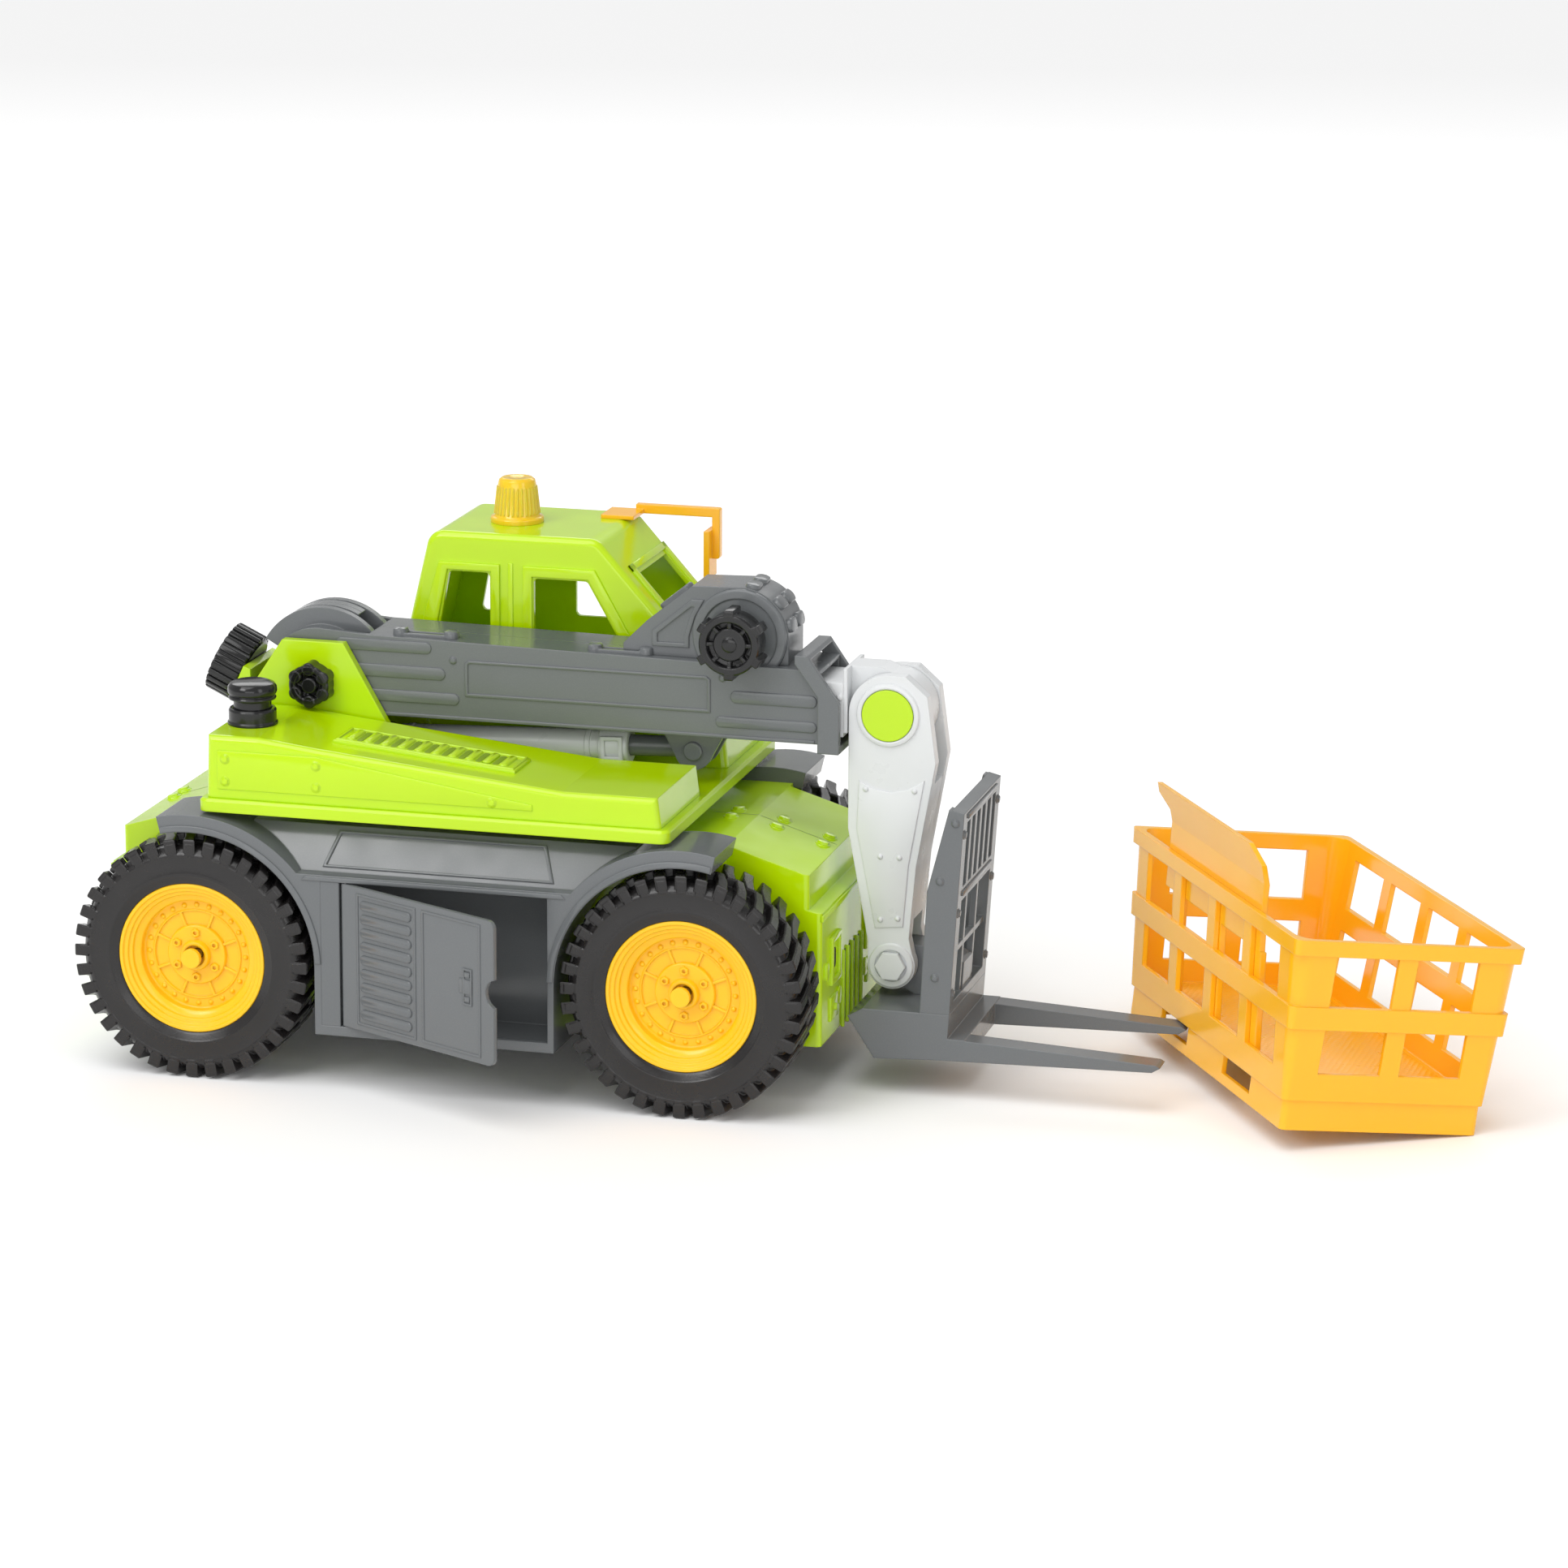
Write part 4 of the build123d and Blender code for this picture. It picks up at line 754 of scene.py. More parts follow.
# ---- hull -------------------------------------------------------------------------------------
class FORKLIFT_OT_hull(bpy.types.Operator):
    """Adds the hood bolts, the centre seam and the moulded grilles at both ends of the hull."""

    bl_idname = "forklift.hull"
    bl_label = "Hull"

    def execute(self, context):
        top, crest = 124, 133
        slope = (top - 111.5) / (173.5 - crest)
        bm = bmesh.new()
        # dark holds thin sheets in the grille slots and framed recesses, coloured as painted shade.
        dark = bmesh.new()
        seam = bmesh.new()
        head = bolt(3.1, 1.7)
        for end in (1, -1):
            tilt = Vector((1, 0, -slope * end)).normalized()
            hood = (tilt, (0, 1, 0))
            for x in (121, 144, 167):
                z = top - max(0, x - crest) * slope
                side = hood if x > crest else TOP
                for y in (-7, 7):
                    stamp(bm, head, at((end * x, y, z), side))
            # Seam lines in the groove colour: painted shade in the hood's seams.
            stamp(seam, raised(oblong(20, 0.3), 0.06, 0, sink=0.1),
                  at((end * 153.2, 0, top - 20.2 * slope), hood))
            stamp(seam, raised(oblong(11, 0.3), 0.06, 0, sink=0.1), at((end * 122, 0, top), TOP))
            face = FRONT if end > 0 else REAR

            def put(target, shape, y, z):
                stamp(target, shape, at((end * NOSE, y, z), face))

            slot = pill(3.0, 38, 0.15, 0.1)
            rib = pill(1.6, 39, 1.4, 0.6)
            for y in (-13.5, -4.5, 4.5, 13.5):
                put(dark, slot, y, 45)
            for y in (-18, -9, 0, 9, 18):
                put(bm, rib, y, 45)
            for sign in (-1, 1):
                put(bm, ring_panel(oblong(9, 12), oblong(6, 9), 1.6), sign * 34, 65)
                put(bm, raised(oblong(7, 6), 1.0, 0.5), sign * 36, 41)
                put(bm, bolt(1.9, 2.2), sign * 36, 41)
                put(dark, pill(5, 10, 0.2, 0.1), sign * 34, 65)
                put(bm, pill(6.5, 9, 1.2), sign * 26, 44)
                put(bm, pill(6.5, 9, 1.2), sign * 50, 62)
            lip = box(-59.5, 59.5, 0, 3)
            stamp(bm, raised(lip, 0.9, 0.4), at((end * NOSE, 0, 89), face))
        piece("hull_relief", bm, lime_abs(), "chassis")
        piece("hull_slots", dark, slot_shadow(), "chassis")
        piece("hood_seams", seam, seam_shadow(), "chassis")
        return {"FINISHED"}


# ---- turret -----------------------------------------------------------------------------------
class FORKLIFT_OT_pod(bpy.types.Operator):
    """Adds the pod's raised side panel, its bolts and the row of vents on its sloping top."""

    bl_idname = "forklift.pod"
    bl_label = "Engine pod"

    def execute(self, context):
        high = sizes().relief / MM
        bm = bmesh.new()
        near = at((0, -POD_SIDE, 0), NEAR)
        stamp(bm, raised([(-110, 144), (48, 144), (48, 147), (-60, 163), (-110, 163)], high, 0.4),
              near)
        head = bolt(1.8, 0.9)
        for x, z in ((-106, 159), (-106, 148), (-60, 158.5), (-60, 148), (28, 146.8)):
            stamp(bm, head, near @ moved(x, z, high))
        down = Vector((123, 0, -12.5)).normalized()
        slope = at((-12, -67, 161.6), (down, (0, 1, 0)))
        strip = oblong(46, 13)
        stamp(bm, raised(strip, 1.5, 0.8), slope)
        inner = oblong(43.6, 10.8)
        edge = oblong(44.8, 12)
        stamp(bm, ring_panel(edge, inner, 2.1, 0.25), slope)
        vent = pill(4.6, 19, 2.6, 1.2)
        # Dark gaps between the vents: painted shade.
        dark = bmesh.new()
        gap = pill(3.0, 17.5, 1.56, 0.05)
        for i in range(10):
            x = -38.5 + 8.55 * i
            stamp(bm, vent, slope @ moved(x, 0))
            if i < 9:
                stamp(dark, gap, slope @ moved(x + 4.3, 0))
        piece("pod_relief", bm, lime_abs(), "turret")
        piece("pod_vent_gaps", dark, seam_shadow(), "turret")
        return {"FINISHED"}


class FORKLIFT_OT_cab(bpy.types.Operator):
    """Adds the raised window frames, the windscreen frame and the moulded details of the cab."""

    bl_idname = "forklift.cab"
    bl_label = "Cab"

    def execute(self, context):
        bm = bmesh.new()
        windows = (
            ([(-50.5, 190), (-37.8, 235), (-6.3, 235), (-6.3, 190)],
             [(-40.6, 194.4), (-33.2, 231.2), (-10.9, 231.2), (-10.9, 194.4)]),
            ([(5.5, 190), (5.5, 235), (42.5, 235), (68, 190)],
             [(10.4, 194.4), (10.4, 229.8), (39, 229.8), (58.9, 194.4)]),
        )
        for y, side, flip in ((CAB_NEAR, NEAR, 1), (CAB_FAR, FAR, -1)):
            for outer, inner in windows:
                shape = ring_panel(flipped(outer, flip), flipped(inner, flip), 1.3, 0.6)
                stamp(bm, shape, at((0, y, 0), side))
            door_line = [(flip * x, z) for x,
                         z in ((-2.2, 150), (0.4, 150), (0.4, 236), (-2.2, 236))]
            stamp(bm, raised(door_line, 0.6, 0.3), at((0, y, 0), side))
            handle = pill(9, 3.2, 2.0, 0.9)
            stamp(bm, handle, at((14, y, 178), side))
        # Windscreen frame: the upper pane leans back, the lower one is steeper.
        for low, high, top_bar, low_bar in (((77, 212), (56, 235.5), True, False),
                                            ((105.4, 167.5), (77, 212), False, True)):
            up = Vector((high[0] - low[0], 0, high[1] - low[1]))
            length = up.length
            place = at((low[0], CAB_MIDDLE, low[1]), ((0, 1, 0), up.normalized()))
            for sign in (-1, 1):
                bar = box(-2.4, 2.4, 0, length)
                stamp(bm, raised(bar, 1.2, 0.5), place @ moved(sign * 28, 0))
            if top_bar:
                stamp(bm, raised(box(-30.4, 30.4, length - 3.6, length), 1.2, 0.5), place)
            if low_bar:
                stamp(bm, raised(box(-30.4, 30.4, 15.6, 20.6), 1.2, 0.5), place)
                for y in (-20, 0, 20):
                    stamp(bm, pill(12, 4, 1.0), place @ moved(y, 7))
        # Back wall: a plain window outline over three louvres.
        lean = Vector((26, 0, 110.7)).normalized()
        back = at((-54.9, 63, 199.3), ((0, -1, 0), lean))
        outer = [(-27, -6), (27, -6), (23, 32), (-23, 32)]
        inner = [(-24, -3), (24, -3), (20.4, 29), (-20.4, 29)]
        stamp(bm, ring_panel(outer, inner, 1.3, 0.6), back)
        stamp(bm, raised([(-20, 0), (20, 0), (17.5, 26), (-17.5, 26)], 0.8, 0.5), back)
        for i in range(3):
            stamp(bm, pill(44, 4.4, 1.4, 0.9), back @ moved(0, -17 - 8 * i))
        for y in (-30, 30):
            stamp(bm, bolt(1.9, 1.2), back @ moved(y, -50))
        piece("cab_relief", bm, lime_abs(), "turret")
        return {"FINISHED"}


class FORKLIFT_OT_beacon(bpy.types.Operator):
    """Builds the ribbed amber beacon on its flange."""

    bl_idname = "forklift.beacon"
    bl_label = "Beacon"

    def execute(self, context):
        bm = bmesh.new()
        place = at((-8, 60, 250), TOP)
        stamp(bm, lathe([
            (13.3, 0), (13.3, 2.2), (12.9, 2.8), (12.0, 3.0), (11.2, 4.2), (9.5, 19.4),
            (9.0, 21.2), (7.6, 22.3),
            (4.0, 22.5), (3.2, 22.1), (0.02, 22.1), (0.02, 20.6), (7.2, 20.6), (8.0, 19.0),
            (9.8, 2.0), (9.8, 0),
        ], steps=72), place)
        rib = raised(oblong(6.8, 0.35), 0.45, 0.15, sink=0.2, segments=1)
        lean = Vector((-1.7, 0, 15.2)).normalized()
        for turn in around(30):
            seat = at((10.45, 0, 11.2), (lean, (0, 1, 0)))
            seat = seat @ Matrix.Rotation(pi, 4, "X")
            stamp(bm, rib, place @ turn @ seat)
        piece("beacon_lens_ribbed", bm, amber_lens(), "turret", ["beacon_lens"])
        return {"FINISHED"}


def knob_ribs(radius, length, count, width, depth):
    """Grip knob with straight ribs, from its seat at height 0 to its end face at length."""
    bm = bmesh.new()
    stamp(bm, lathe([
        (radius - depth, 0.6), (radius - depth, length - 1.4),
        (radius - depth - 1.2, length - 0.4),
        (radius * 0.62, length), (radius * 0.58, length - 1.6), (radius * 0.2, length - 1.6),
        (radius * 0.17, length - 0.4), (0.02, length - 0.4), (0.02, 0), (radius - depth - 0.8, 0),
    ], steps=96), Matrix.Identity(4))
    rib = raised(oblong(length / 2 - 0.8, width / 2), depth, 0.45, sink=0.8)
    for place in around(count, radius - depth):
        stamp(bm, rib, place @ at((0, 0, length / 2), ((0, 0, -1), (0, 1, 0))))
    return to_shape(bm)


class FORKLIFT_OT_knobs(bpy.types.Operator):
    """Builds the ribbed lift knob, the lobed pivot knobs, the winding knob and the push button."""

    bl_idname = "forklift.knobs"
    bl_label = "Knobs"

    def execute(self, context):
        finish = black_abs()
        slope = radians(25.3)
        shaft = Vector((cos(slope), 0, -sin(slope)))
        foot = Vector((PIVOT[0] - 20 * sin(slope), 0, PIVOT[1] - 20 * cos(slope)))
        bm = bmesh.new()
        seat = at(foot - shaft * 37.1, ((0, 1, 0), (sin(slope), 0, cos(slope))))
        if (seat.to_3x3() @ Vector((0, 0, 1))).dot(shaft) > 0:
            seat = seat @ Matrix.Rotation(pi, 4, "X")
        stamp(bm, knob_ribs(18, 16.6, sizes().knob_ribs, 2.7, 1.7), seat)
        piece("lift_knob_ribbed", bm, finish, "lift_winder", ["lift_knob"])

        bm = bmesh.new()
        lobe = lathe([(3.3, 0), (3.3, 8.2), (2.7, 9), (0.02, 9), (0.02, 0)], steps=24)
        body = lathe([(10.2, 0), (10.2, 8.2), (9.4, 9), (7.4, 9), (6.8, 8.2), (6.8, 5.4),
                      (4.4, 5.0), (4.0, 8.0),
                      (3.4, 8.6), (0.02, 8.6), (0.02, 0)], steps=64)
        for y, side in ((-26.5, NEAR), (25.1, FAR)):
            place = at((PIVOT[0], y, PIVOT[1]), side)
            stamp(bm, body, place)
            for turn in around(6, 8.1, radians(30)):
                stamp(bm, lobe, place @ turn @ moved(0, 0, -0.02))
        piece("pivot_knobs_lobed", bm, finish, "turret", ["pivot_knobs"])

        bm = bmesh.new()
        place = at((WINDING[0], -22, WINDING[1]), NEAR)
        stamp(bm, lathe([
            (3.05, 0), (14.6, 0), (15.0, 0.6), (15.0, 13.0), (14.2, 14), (11.6, 14), (11.0, 13.2),
            (11.0, 9.4),
            (8.6, 9.0), (8.2, 11.6), (7.6, 12.2), (3.6, 12.2), (3.05, 11.0),
        ], steps=96), place)
        stamp(bm,
              lathe([(0.02, 10.2), (3.6, 10.2), (3.6, 12.8), (2.8, 13.2), (0.02, 13.2)], steps=32),
              place)
        grip = raised(oblong(7, 2.3), 2.3, 0.8, sink=0.8)
        for turn in around(6, 15.0, radians(30)):
            stamp(bm, grip, place @ turn @ at((0, 0, 7), ((0, 0, -1), (0, 1, 0))))
        web = raised(box(-1.5, 1.7, -0.9, 0.9), 3.6, 0.2)
        for turn in around(8, 9.7):
            stamp(bm, web, place @ turn @ moved(0, 0, 9.2))
        piece("winding_knob_detailed", bm, finish, "extension_winder", ["extension_knob"])

        bm = bmesh.new()
        place = at((*BUTTON, 0), TOP)
        stamp(bm, lathe([
            (9.2, 175), (9.2, 181.8), (10.2, 182.1), (11.4, 182.5), (11.6, 183.2), (11.2, 184.0),
            (10.6, 184.3),
            (10.6, 184.7), (11.6, 185.2), (12.0, 186.4), (11.8, 188.6), (10.6, 190.2),
            (8.4, 191.0), (0.02, 191.0),
            (0.02, 184.2), (6.0, 184.2), (6.0, 175),
        ], steps=72), place)
        piece("button_cap_turned", bm, finish, "button", ["button_cap"])
        bm = bmesh.new()
        stamp(bm, lathe([
            (12.2, 170), (12.2, 171.2), (11.6, 171.8), (11.6, 177.0), (10.9, 178.0), (9.6, 178.0),
            (9.35, 177.6),
            (9.35, 171.4), (6.5, 171.2), (6.5, 170),
        ], steps=72), place)
        piece("button_socket_turned", bm, finish, "turret", ["button_socket"])

        # Return spring: a wire ring swept round and up.
        turns, pitch = 4.6, 2.4
        bm = bmesh.new()
        wire = bmesh.ops.create_circle(bm, cap_ends=True, segments=8, radius=0.5)
        bmesh.ops.rotate(bm, verts=wire["verts"], matrix=Matrix.Rotation(pi / 2, 3, "X"))
        bmesh.ops.translate(bm, verts=wire["verts"], vec=(4.6, 0, 0.5))
        steps = 110
        bmesh.ops.spin(bm, geom=bm.verts[:] + bm.edges[:] + bm.faces[:], cent=(0, 0, 0),
                       axis=(0, 0, 1),
                       angle=2 * pi * turns, steps=steps, dvec=(0, 0, pitch * turns / steps))
        bmesh.ops.translate(bm, verts=bm.verts, vec=(*BUTTON, 171.3))
        spring = piece("return_spring", bm, plated_steel(), "turret", ["button_spring"])
        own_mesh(spring)
        return {"FINISHED"}


# ---- boom -------------------------------------------------------------------------------------
class FORKLIFT_OT_boom(bpy.types.Operator):
    """Adds the boom's pads, side panels and clips, and the winding housing's discs and ribs."""

    bl_idname = "forklift.boom"
    bl_label = "Boom"

    def execute(self, context):
        high = sizes().relief / MM
        bm = bmesh.new()
        pads = ((-76, -27, 198.3, 204.2), (-72, -20, 185.6, 191.8), (-62, -13, 173.6, 179.4),
                (124, 167, 184, 190.2),
                (116.6, 167, 171.8, 177.2))
        for y, side, flip in ((-BOOM_SIDE, NEAR, 1), (BOOM_SIDE, FAR, -1)):
            place = at((0, y, 0), side)
            for x_low, x_high, z_low, z_high in pads:
                pad = pill(x_high - x_low, z_high - z_low, high, 0.5)
                stamp(bm, pad, place @ moved(flip * (x_low + x_high) / 2, (z_low + z_high) / 2))
            outer = [(-62, -9), (62, -9), (62, 7.5), (60, 9), (-60, 9), (-62, 7.5)]
            inner = [(-60.4, -7.4), (60.4, -7.4), (60.4, 7), (59.2, 7.6), (-59.2, 7.6), (-60.4, 7)]
            centre = place @ moved(flip * 52, 187.5, 0)
            stamp(bm, ring_panel(flipped(outer, flip), flipped(inner, flip), high, 0.3), centre)
            keel = [(flip * x, z) for x,
                    z in ((-58, 166.4), (166, 166.4), (166, 168.2), (-58, 168.2))]
            stamp(bm, raised(keel, 0.6, 0.3), place)
            for x in (-16, 120):
                stamp(bm, bolt(1.6, 1.0), place @ moved(flip * x, 196))
        # Clips on the boom's top face: two lugs joined by a low frame.
        lug = pill(7, 9, 3.6, 1.4)
        for x in (-32, 67):
            z = 206.2 - (x + 60) * 3.9 / 228
            seat = at((x, -13, z), TOP)
            for shift in (-13, 13):
                stamp(bm, lug, seat @ moved(shift, 0))
            stamp(bm, ring_panel(oblong(12, 3.6), oblong(9.5, 1.8), 1.6, 0.4), seat)
        # Winding housing.
        drum = lathe([(3.6, -SINK), (3.6, 1.6), (18.5, 1.6), (19, 2.6), (22.6, 2.6), (23.4, 1.8),
                      (23.6, -SINK)], steps=96)
        for y, side, flip in ((-14, NEAR, 1), (14, FAR, -1)):
            stamp(bm, drum, at((WINDING[0], y, WINDING[1]), side))
            wedge = [(83, 208.5), (83, 216), (103, 232.5), (109, 232.5), (104.5, 224),
                     (101.5, 214), (101.5, 208.5)]
            core = [(85.6, 210.6), (85.6, 214.8), (102.6, 228.8), (104.2, 228.8), (101.8, 223.4),
                    (99.2, 214.2),
                    (99.2, 210.6)]
            stamp(bm, ring_panel(flipped(wedge, flip), flipped(core, flip), 0.9, 0.3),
                  at((0, y, 0), side))
        rib = pill(7, 12, 2.0, 0.9)
        for angle in (14, 42, 78):
            out = Vector((cos(radians(angle)), 0, sin(radians(angle))))
            seat = at(Vector((WINDING[0], 0, WINDING[1])) + out * 23.9,
                      ((out.z, 0, -out.x), (0, 1, 0)))
            for y in (-7, 7):
                stamp(bm, rib, seat @ moved(0, y))
        rise = Vector((103 - 80.7, 0, 239 - 221)).normalized()
        seat = at((92, 0, 230.1), (rise, (0, 1, 0)))
        stamp(bm, pill(20, 7, 2.4, 1.0), seat)
        piece("boom_relief", bm, grey_abs(), "boom")
        bm = bmesh.new()
        for y, side in ((-9.5, NEAR), (9.5, FAR)):
            stamp(bm,
                  lathe([(0.02, -SINK), (0.02, 1.4), (4.2, 1.4), (4.7, 0.9), (4.7, -SINK)],
                        steps=32),
                  at((LUG_PIN[0], y, LUG_PIN[1]), side))
        piece("lug_pin_heads", bm, grey_abs(), "boom")
        return {"FINISHED"}


class FORKLIFT_OT_cylinder(bpy.types.Operator):
    """Adds the lift cylinder's clamp plates and end band."""

    bl_idname = "forklift.cylinder"
    bl_label = "Lift cylinder"

    def execute(self, context):
        lean = radians(2.3583)
        along = Vector((cos(lean), 0, sin(lean)))
        foot = Vector((CYLINDER_PIN[0], 0, CYLINDER_PIN[1]))
        bm = bmesh.new()
        up = Vector((-sin(lean), 0, cos(lean)))
        for sign in (-1, 1):
            seat = at(foot + along * 119 + Vector((0, sign * 8.9, 0)), (along * -sign, up))
            stamp(bm, ring_panel(oblong(5.6, 6), oblong(3.4, 4), 1.1, 0.4), seat)
        for start in (14, 106):
            seat = at(foot + along * start, ((0, 1, 0), up))
            stamp(bm, lathe([(7.6, -1.6), (8.1, -1.2), (8.1, 1.2), (7.6, 1.6)], steps=64), seat)
        piece("cylinder_bands", bm, pale_abs(), "cylinder_lower")
        return {"FINISHED"}


# ---- arm and carriage -------------------------------------------------------------------------
class FORKLIFT_OT_arm(bpy.types.Operator):
    """Adds the arm's raised panels, bolts and cap rings."""

    bl_idname = "forklift.arm"
    bl_label = "Arm"

    def execute(self, context):
        high = sizes().relief / MM
        bm = bmesh.new()
        panel = [(187, 149), (186, 125), (195.6, 76), (209.6, 77.5), (212, 108), (219.4, 151),
                 (211, 146), (203, 144),
                 (194, 145.5)]
        for y, side, flip in ((-ARM_SIDE, NEAR, 1), (ARM_SIDE, FAR, -1)):
            place = at((0, y, 0), side)
            stamp(bm, raised(flipped(panel, flip), high, 0.4), place)
            for x, z in ((190.5, 145), (214.6, 145.5), (198.4, 80.5), (207, 81.5), (198, 112),
                         (207.5, 112)):
                stamp(bm, dome(1.3, 0.9), place @ moved(flip * x, z, high))
            ring = lathe([(12.9, -SINK), (12.9, 1.3), (13.6, 1.6), (15.2, 1.2), (15.8, -SINK)],
                         steps=72)
            stamp(bm, ring, at((ARM_HEAD[0], y, ARM_HEAD[1]), side))
            foot = lathe([(7.9, -SINK), (7.9, 0.9), (10.6, 0.9), (11.2, 0.3), (11.2, -SINK)],
                         steps=48)
            stamp(bm, foot, at((ARM_FOOT[0], y, ARM_FOOT[1]), side))
        piece("arm_relief", bm, pale_abs(), "arm")
        bm = bmesh.new()
        for y, side in ((-16.9, NEAR), (16.9, FAR)):
            stamp(bm, bolt(1.5, 0.9), at((177.4, y, 189.5), side))
        piece("head_bolts", bm, pale_abs(), "extension")
        return {"FINISHED"}


class FORKLIFT_OT_carriage(bpy.types.Operator):
    """Adds the carriage's bolts and two ribs across its face."""

    bl_idname = "forklift.carriage"
    bl_label = "Carriage"

    def execute(self, context):
        bm = bmesh.new()
        foot_x, foot_z = 237.3, 27.1
        lean = (244.5 - foot_x) / (141.8 - foot_z)
        up = Vector((lean, 0, 1)).normalized()
        for y, side in ((-CARRIAGE_SIDE, NEAR), (CARRIAGE_SIDE, FAR)):
            for x, z in ((240.2, 137), (233, 108), (231, 60)):
                stamp(bm, bolt(1.7, 1.0), at((x, y, z), side))
        for y in (-36, 36):
            for z in (52, 92, 131):
                x = foot_x + (z - foot_z) * lean
                stamp(bm, bolt(1.9, 1.1), at((x, y, z), ((0, 1, 0), up)))
        for z in (100.5, 139):
            x = foot_x + (z - foot_z) * lean
            stamp(bm, raised(oblong(31, 1.2), 0.8, 0.4), at((x, 0, z), ((0, 1, 0), up)))
        piece("carriage_relief", bm, grey_abs(), "carriage")
        return {"FINISHED"}


# ---- work basket ------------------------------------------------------------------------------
YAW, ROLL = radians(31.7), radians(6.6)
ACROSS = Vector((cos(ROLL) * cos(YAW), cos(ROLL) * sin(YAW), -sin(ROLL)))
ALONG = Vector((-sin(YAW), cos(YAW), 0))
BASKET_WIDTH, BASKET_LENGTH = 100.4, 203.0


def basket_place(s, t, up):
    """Frame on the basket's floor plane, measured across, along and up from its near corner."""
    corner = Vector((407.0, -80.6, BASKET_WIDTH * sin(ROLL)))
    return at(corner + ACROSS * s + ALONG * t + ACROSS.cross(ALONG) * up, (ACROSS, ALONG))


class FORKLIFT_OT_basket(bpy.types.Operator):
    """Adds the dimpled sheet on the basket's floor."""

    bl_idname = "forklift.basket"
    bl_label = "Work basket"

    def execute(self, context):
        bm = bmesh.new()
        half_s, half_t = BASKET_WIDTH / 2 - 5, BASKET_LENGTH / 2 - 5
        floor = raised(box(-half_s + 9, half_s, -half_t, half_t), 0.35, 0.2, sink=0.2)
        stamp(bm, floor, basket_place(BASKET_WIDTH / 2, BASKET_LENGTH / 2, 17.0))
        piece("basket_floor_dimples", bm, basket_floor_plastic(), "work_basket")
        return {"FINISHED"}


# ---- finishes on the frame's own parts --------------------------------------------------------
class FORKLIFT_OT_finishes(bpy.types.Operator):
    """Gives every part of the frame that stays in view its finish."""

    bl_idname = "forklift.finishes"
    bl_label = "Finishes"

    def execute(self, context):
        slots = {part["node"]: part["material_slot"] for part in frame["record"]["subparts"]}
        for node, obj in frame["nodes"].items():
            finish = SLOT_FINISH[slots[node]]()
            if obj.data.materials:
                for i in range(len(obj.data.materials)):
                    obj.data.materials[i] = finish
            else:
                obj.data.materials.append(finish)
        return {"FINISHED"}


# ---- stage ------------------------------------------------------------------------------------
def area_light(name, spot, aim, size, power, colour=(1, 1, 1)):
    """Large softbox that looks at a point."""
    data = bpy.data.lights.new(name, "AREA")
    data.shape = "RECTANGLE"
    data.size, data.size_y = size
    data.energy = power
    data.color = colour
    lamp = bpy.data.objects.new(name, data)
    bpy.context.scene.collection.objects.link(lamp)
    lamp.location = spot
    lamp.rotation_euler = (Vector(aim) - Vector(spot)).to_track_quat("-Z", "Y").to_euler()
    return lamp


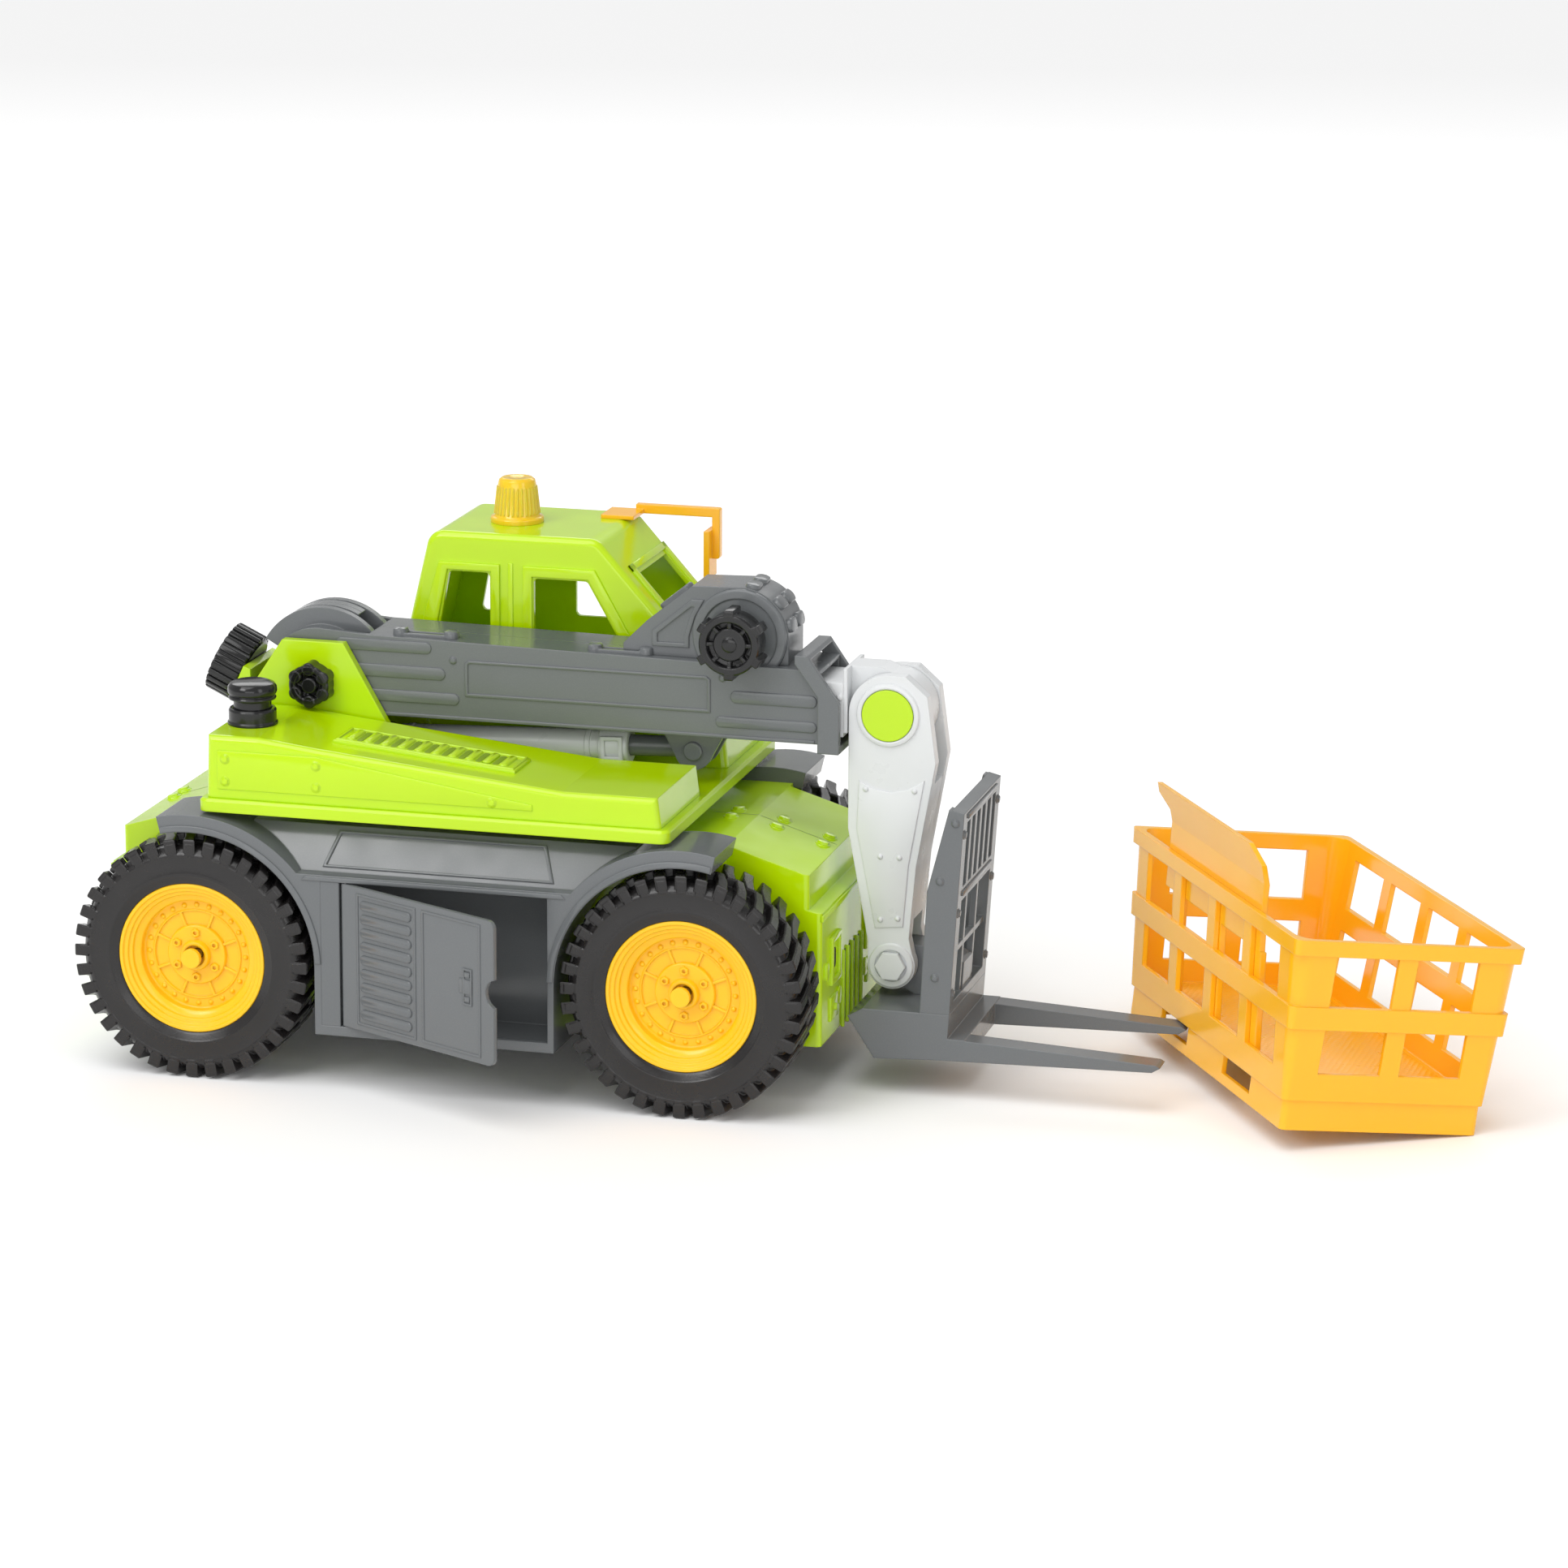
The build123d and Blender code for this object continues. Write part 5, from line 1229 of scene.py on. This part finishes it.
class FORKLIFT_OT_stage(bpy.types.Operator):
    """Sets up the pale floor, the soft studio light and the camera."""

    bl_idname = "forklift.stage"
    bl_label = "Stage"

    def execute(self, context):
        scene = context.scene
        bm = bmesh.new()
        bmesh.ops.create_grid(bm, x_segments=8, y_segments=8, size=14)
        mesh = bpy.data.meshes.new("studio_floor")
        bm.to_mesh(mesh)
        bm.free()
        mesh.materials.append(studio_paper())
        floor = bpy.data.objects.new("studio_floor", mesh)
        scene.collection.objects.link(floor)

        # The air lights softly from all round, and is seen as plain white behind the floor's edge.
        world = bpy.data.worlds.new("studio_air")
        scene.world = world
        world.use_nodes = True
        tree = world.node_tree
        tree.nodes.clear()
        path = add(tree, "ShaderNodeLightPath")
        level = add(tree, "ShaderNodeMapRange",
                    {"Value": path.outputs["Is Camera Ray"], "To Min": 0.54, "To Max": 1.0})
        air = add(tree, "ShaderNodeBackground",
                  {"Color": (1, 1, 1, 1), "Strength": level.outputs["Result"]})
        add(tree, "ShaderNodeOutputWorld", {"Surface": air.outputs["Background"]})
        data = bpy.data.lights.new("overhead", "SUN")
        data.energy = 1.35
        data.angle = radians(50)
        overhead = bpy.data.objects.new("overhead", data)
        scene.collection.objects.link(overhead)
        overhead.rotation_euler = (radians(24), radians(-12), 0)
        area_light("softbox_left", (-1.6, -2.6, 2.0), (0.1, 0, 0.1), (1.4, 1.0), 25)
        area_light("softbox_right", (2.4, -1.6, 1.2), (0.1, 0, 0.1), (0.8, 1.8), 9)
        area_light("softbox_low", (0.3, -3.2, 0.75), (0.1, 0, 0.12), (2.4, 0.9), 13)
        area_light("softbox_back", (-0.6, 2.6, 1.9), (0, 0, 0.15), (3.0, 1.0), 22)

        azimuth, elevation, roll = radians(14.6227), radians(14.14), radians(0.3548)
        ahead = Vector((-sin(azimuth) * cos(elevation), cos(azimuth) * cos(elevation),
                        -sin(elevation)))
        right = Vector((cos(azimuth), sin(azimuth), 0))
        up = right.cross(ahead)
        turned_right = right * cos(roll) + up * sin(roll)
        turned_up = up * cos(roll) - right * sin(roll)
        matrix = Matrix((turned_right, turned_up, -ahead)).transposed().to_4x4()
        matrix.translation = Vector((0.8329, -2.6346, 0.8263))
        data = bpy.data.cameras.new("camera")
        data.lens = 132.75
        data.sensor_width = 36
        data.clip_end = 50
        camera = bpy.data.objects.new("camera", data)
        scene.collection.objects.link(camera)
        camera.matrix_world = matrix
        scene.camera = camera
        scene.view_settings.view_transform = "Standard"
        scene.view_settings.look = "None"
        return {"FINISHED"}


# ---- panel and registration -------------------------------------------------------------------
STEPS = (
    FORKLIFT_OT_stage, FORKLIFT_OT_tyres, FORKLIFT_OT_rims, FORKLIFT_OT_doors, FORKLIFT_OT_skirts,
    FORKLIFT_OT_hull,
    FORKLIFT_OT_pod, FORKLIFT_OT_cab, FORKLIFT_OT_beacon, FORKLIFT_OT_knobs, FORKLIFT_OT_boom,
    FORKLIFT_OT_cylinder,
    FORKLIFT_OT_arm, FORKLIFT_OT_carriage, FORKLIFT_OT_basket, FORKLIFT_OT_finishes,
)


class FORKLIFT_PT_panel(bpy.types.Panel):
    """Lists the sizes, the colours and the steps that build the fork lift's looks."""

    bl_label = "Toy fork lift"
    bl_idname = "FORKLIFT_PT_panel"
    bl_space_type = "VIEW_3D"
    bl_region_type = "UI"
    bl_category = "Fork Lift"

    def draw(self, context):
        for group in (context.scene.fork_lift_sizes, context.scene.fork_lift_colours):
            box = self.layout.box()
            for name in group.bl_rna.properties.keys():
                if name not in ("rna_type", "name"):
                    box.prop(group, name)
        for step in STEPS:
            self.layout.operator(step.bl_idname)


CLASSES = (ForkLiftSizes, ForkLiftColours, *STEPS, FORKLIFT_PT_panel)


def register():
    for cls in CLASSES:
        bpy.utils.register_class(cls)
    bpy.types.Scene.fork_lift_sizes = bpy.props.PointerProperty(type=ForkLiftSizes)
    bpy.types.Scene.fork_lift_colours = bpy.props.PointerProperty(type=ForkLiftColours)


def unregister():
    del bpy.types.Scene.fork_lift_colours
    del bpy.types.Scene.fork_lift_sizes
    for cls in reversed(CLASSES):
        bpy.utils.unregister_class(cls)


def main():
    register()
    for step in STEPS:
        category, name = step.bl_idname.split(".")
        result = getattr(getattr(bpy.ops, category), name)()
        if result != {"FINISHED"}:
            raise RuntimeError(step.bl_label + " did not finish")


if __name__ == "__main__":
    main()
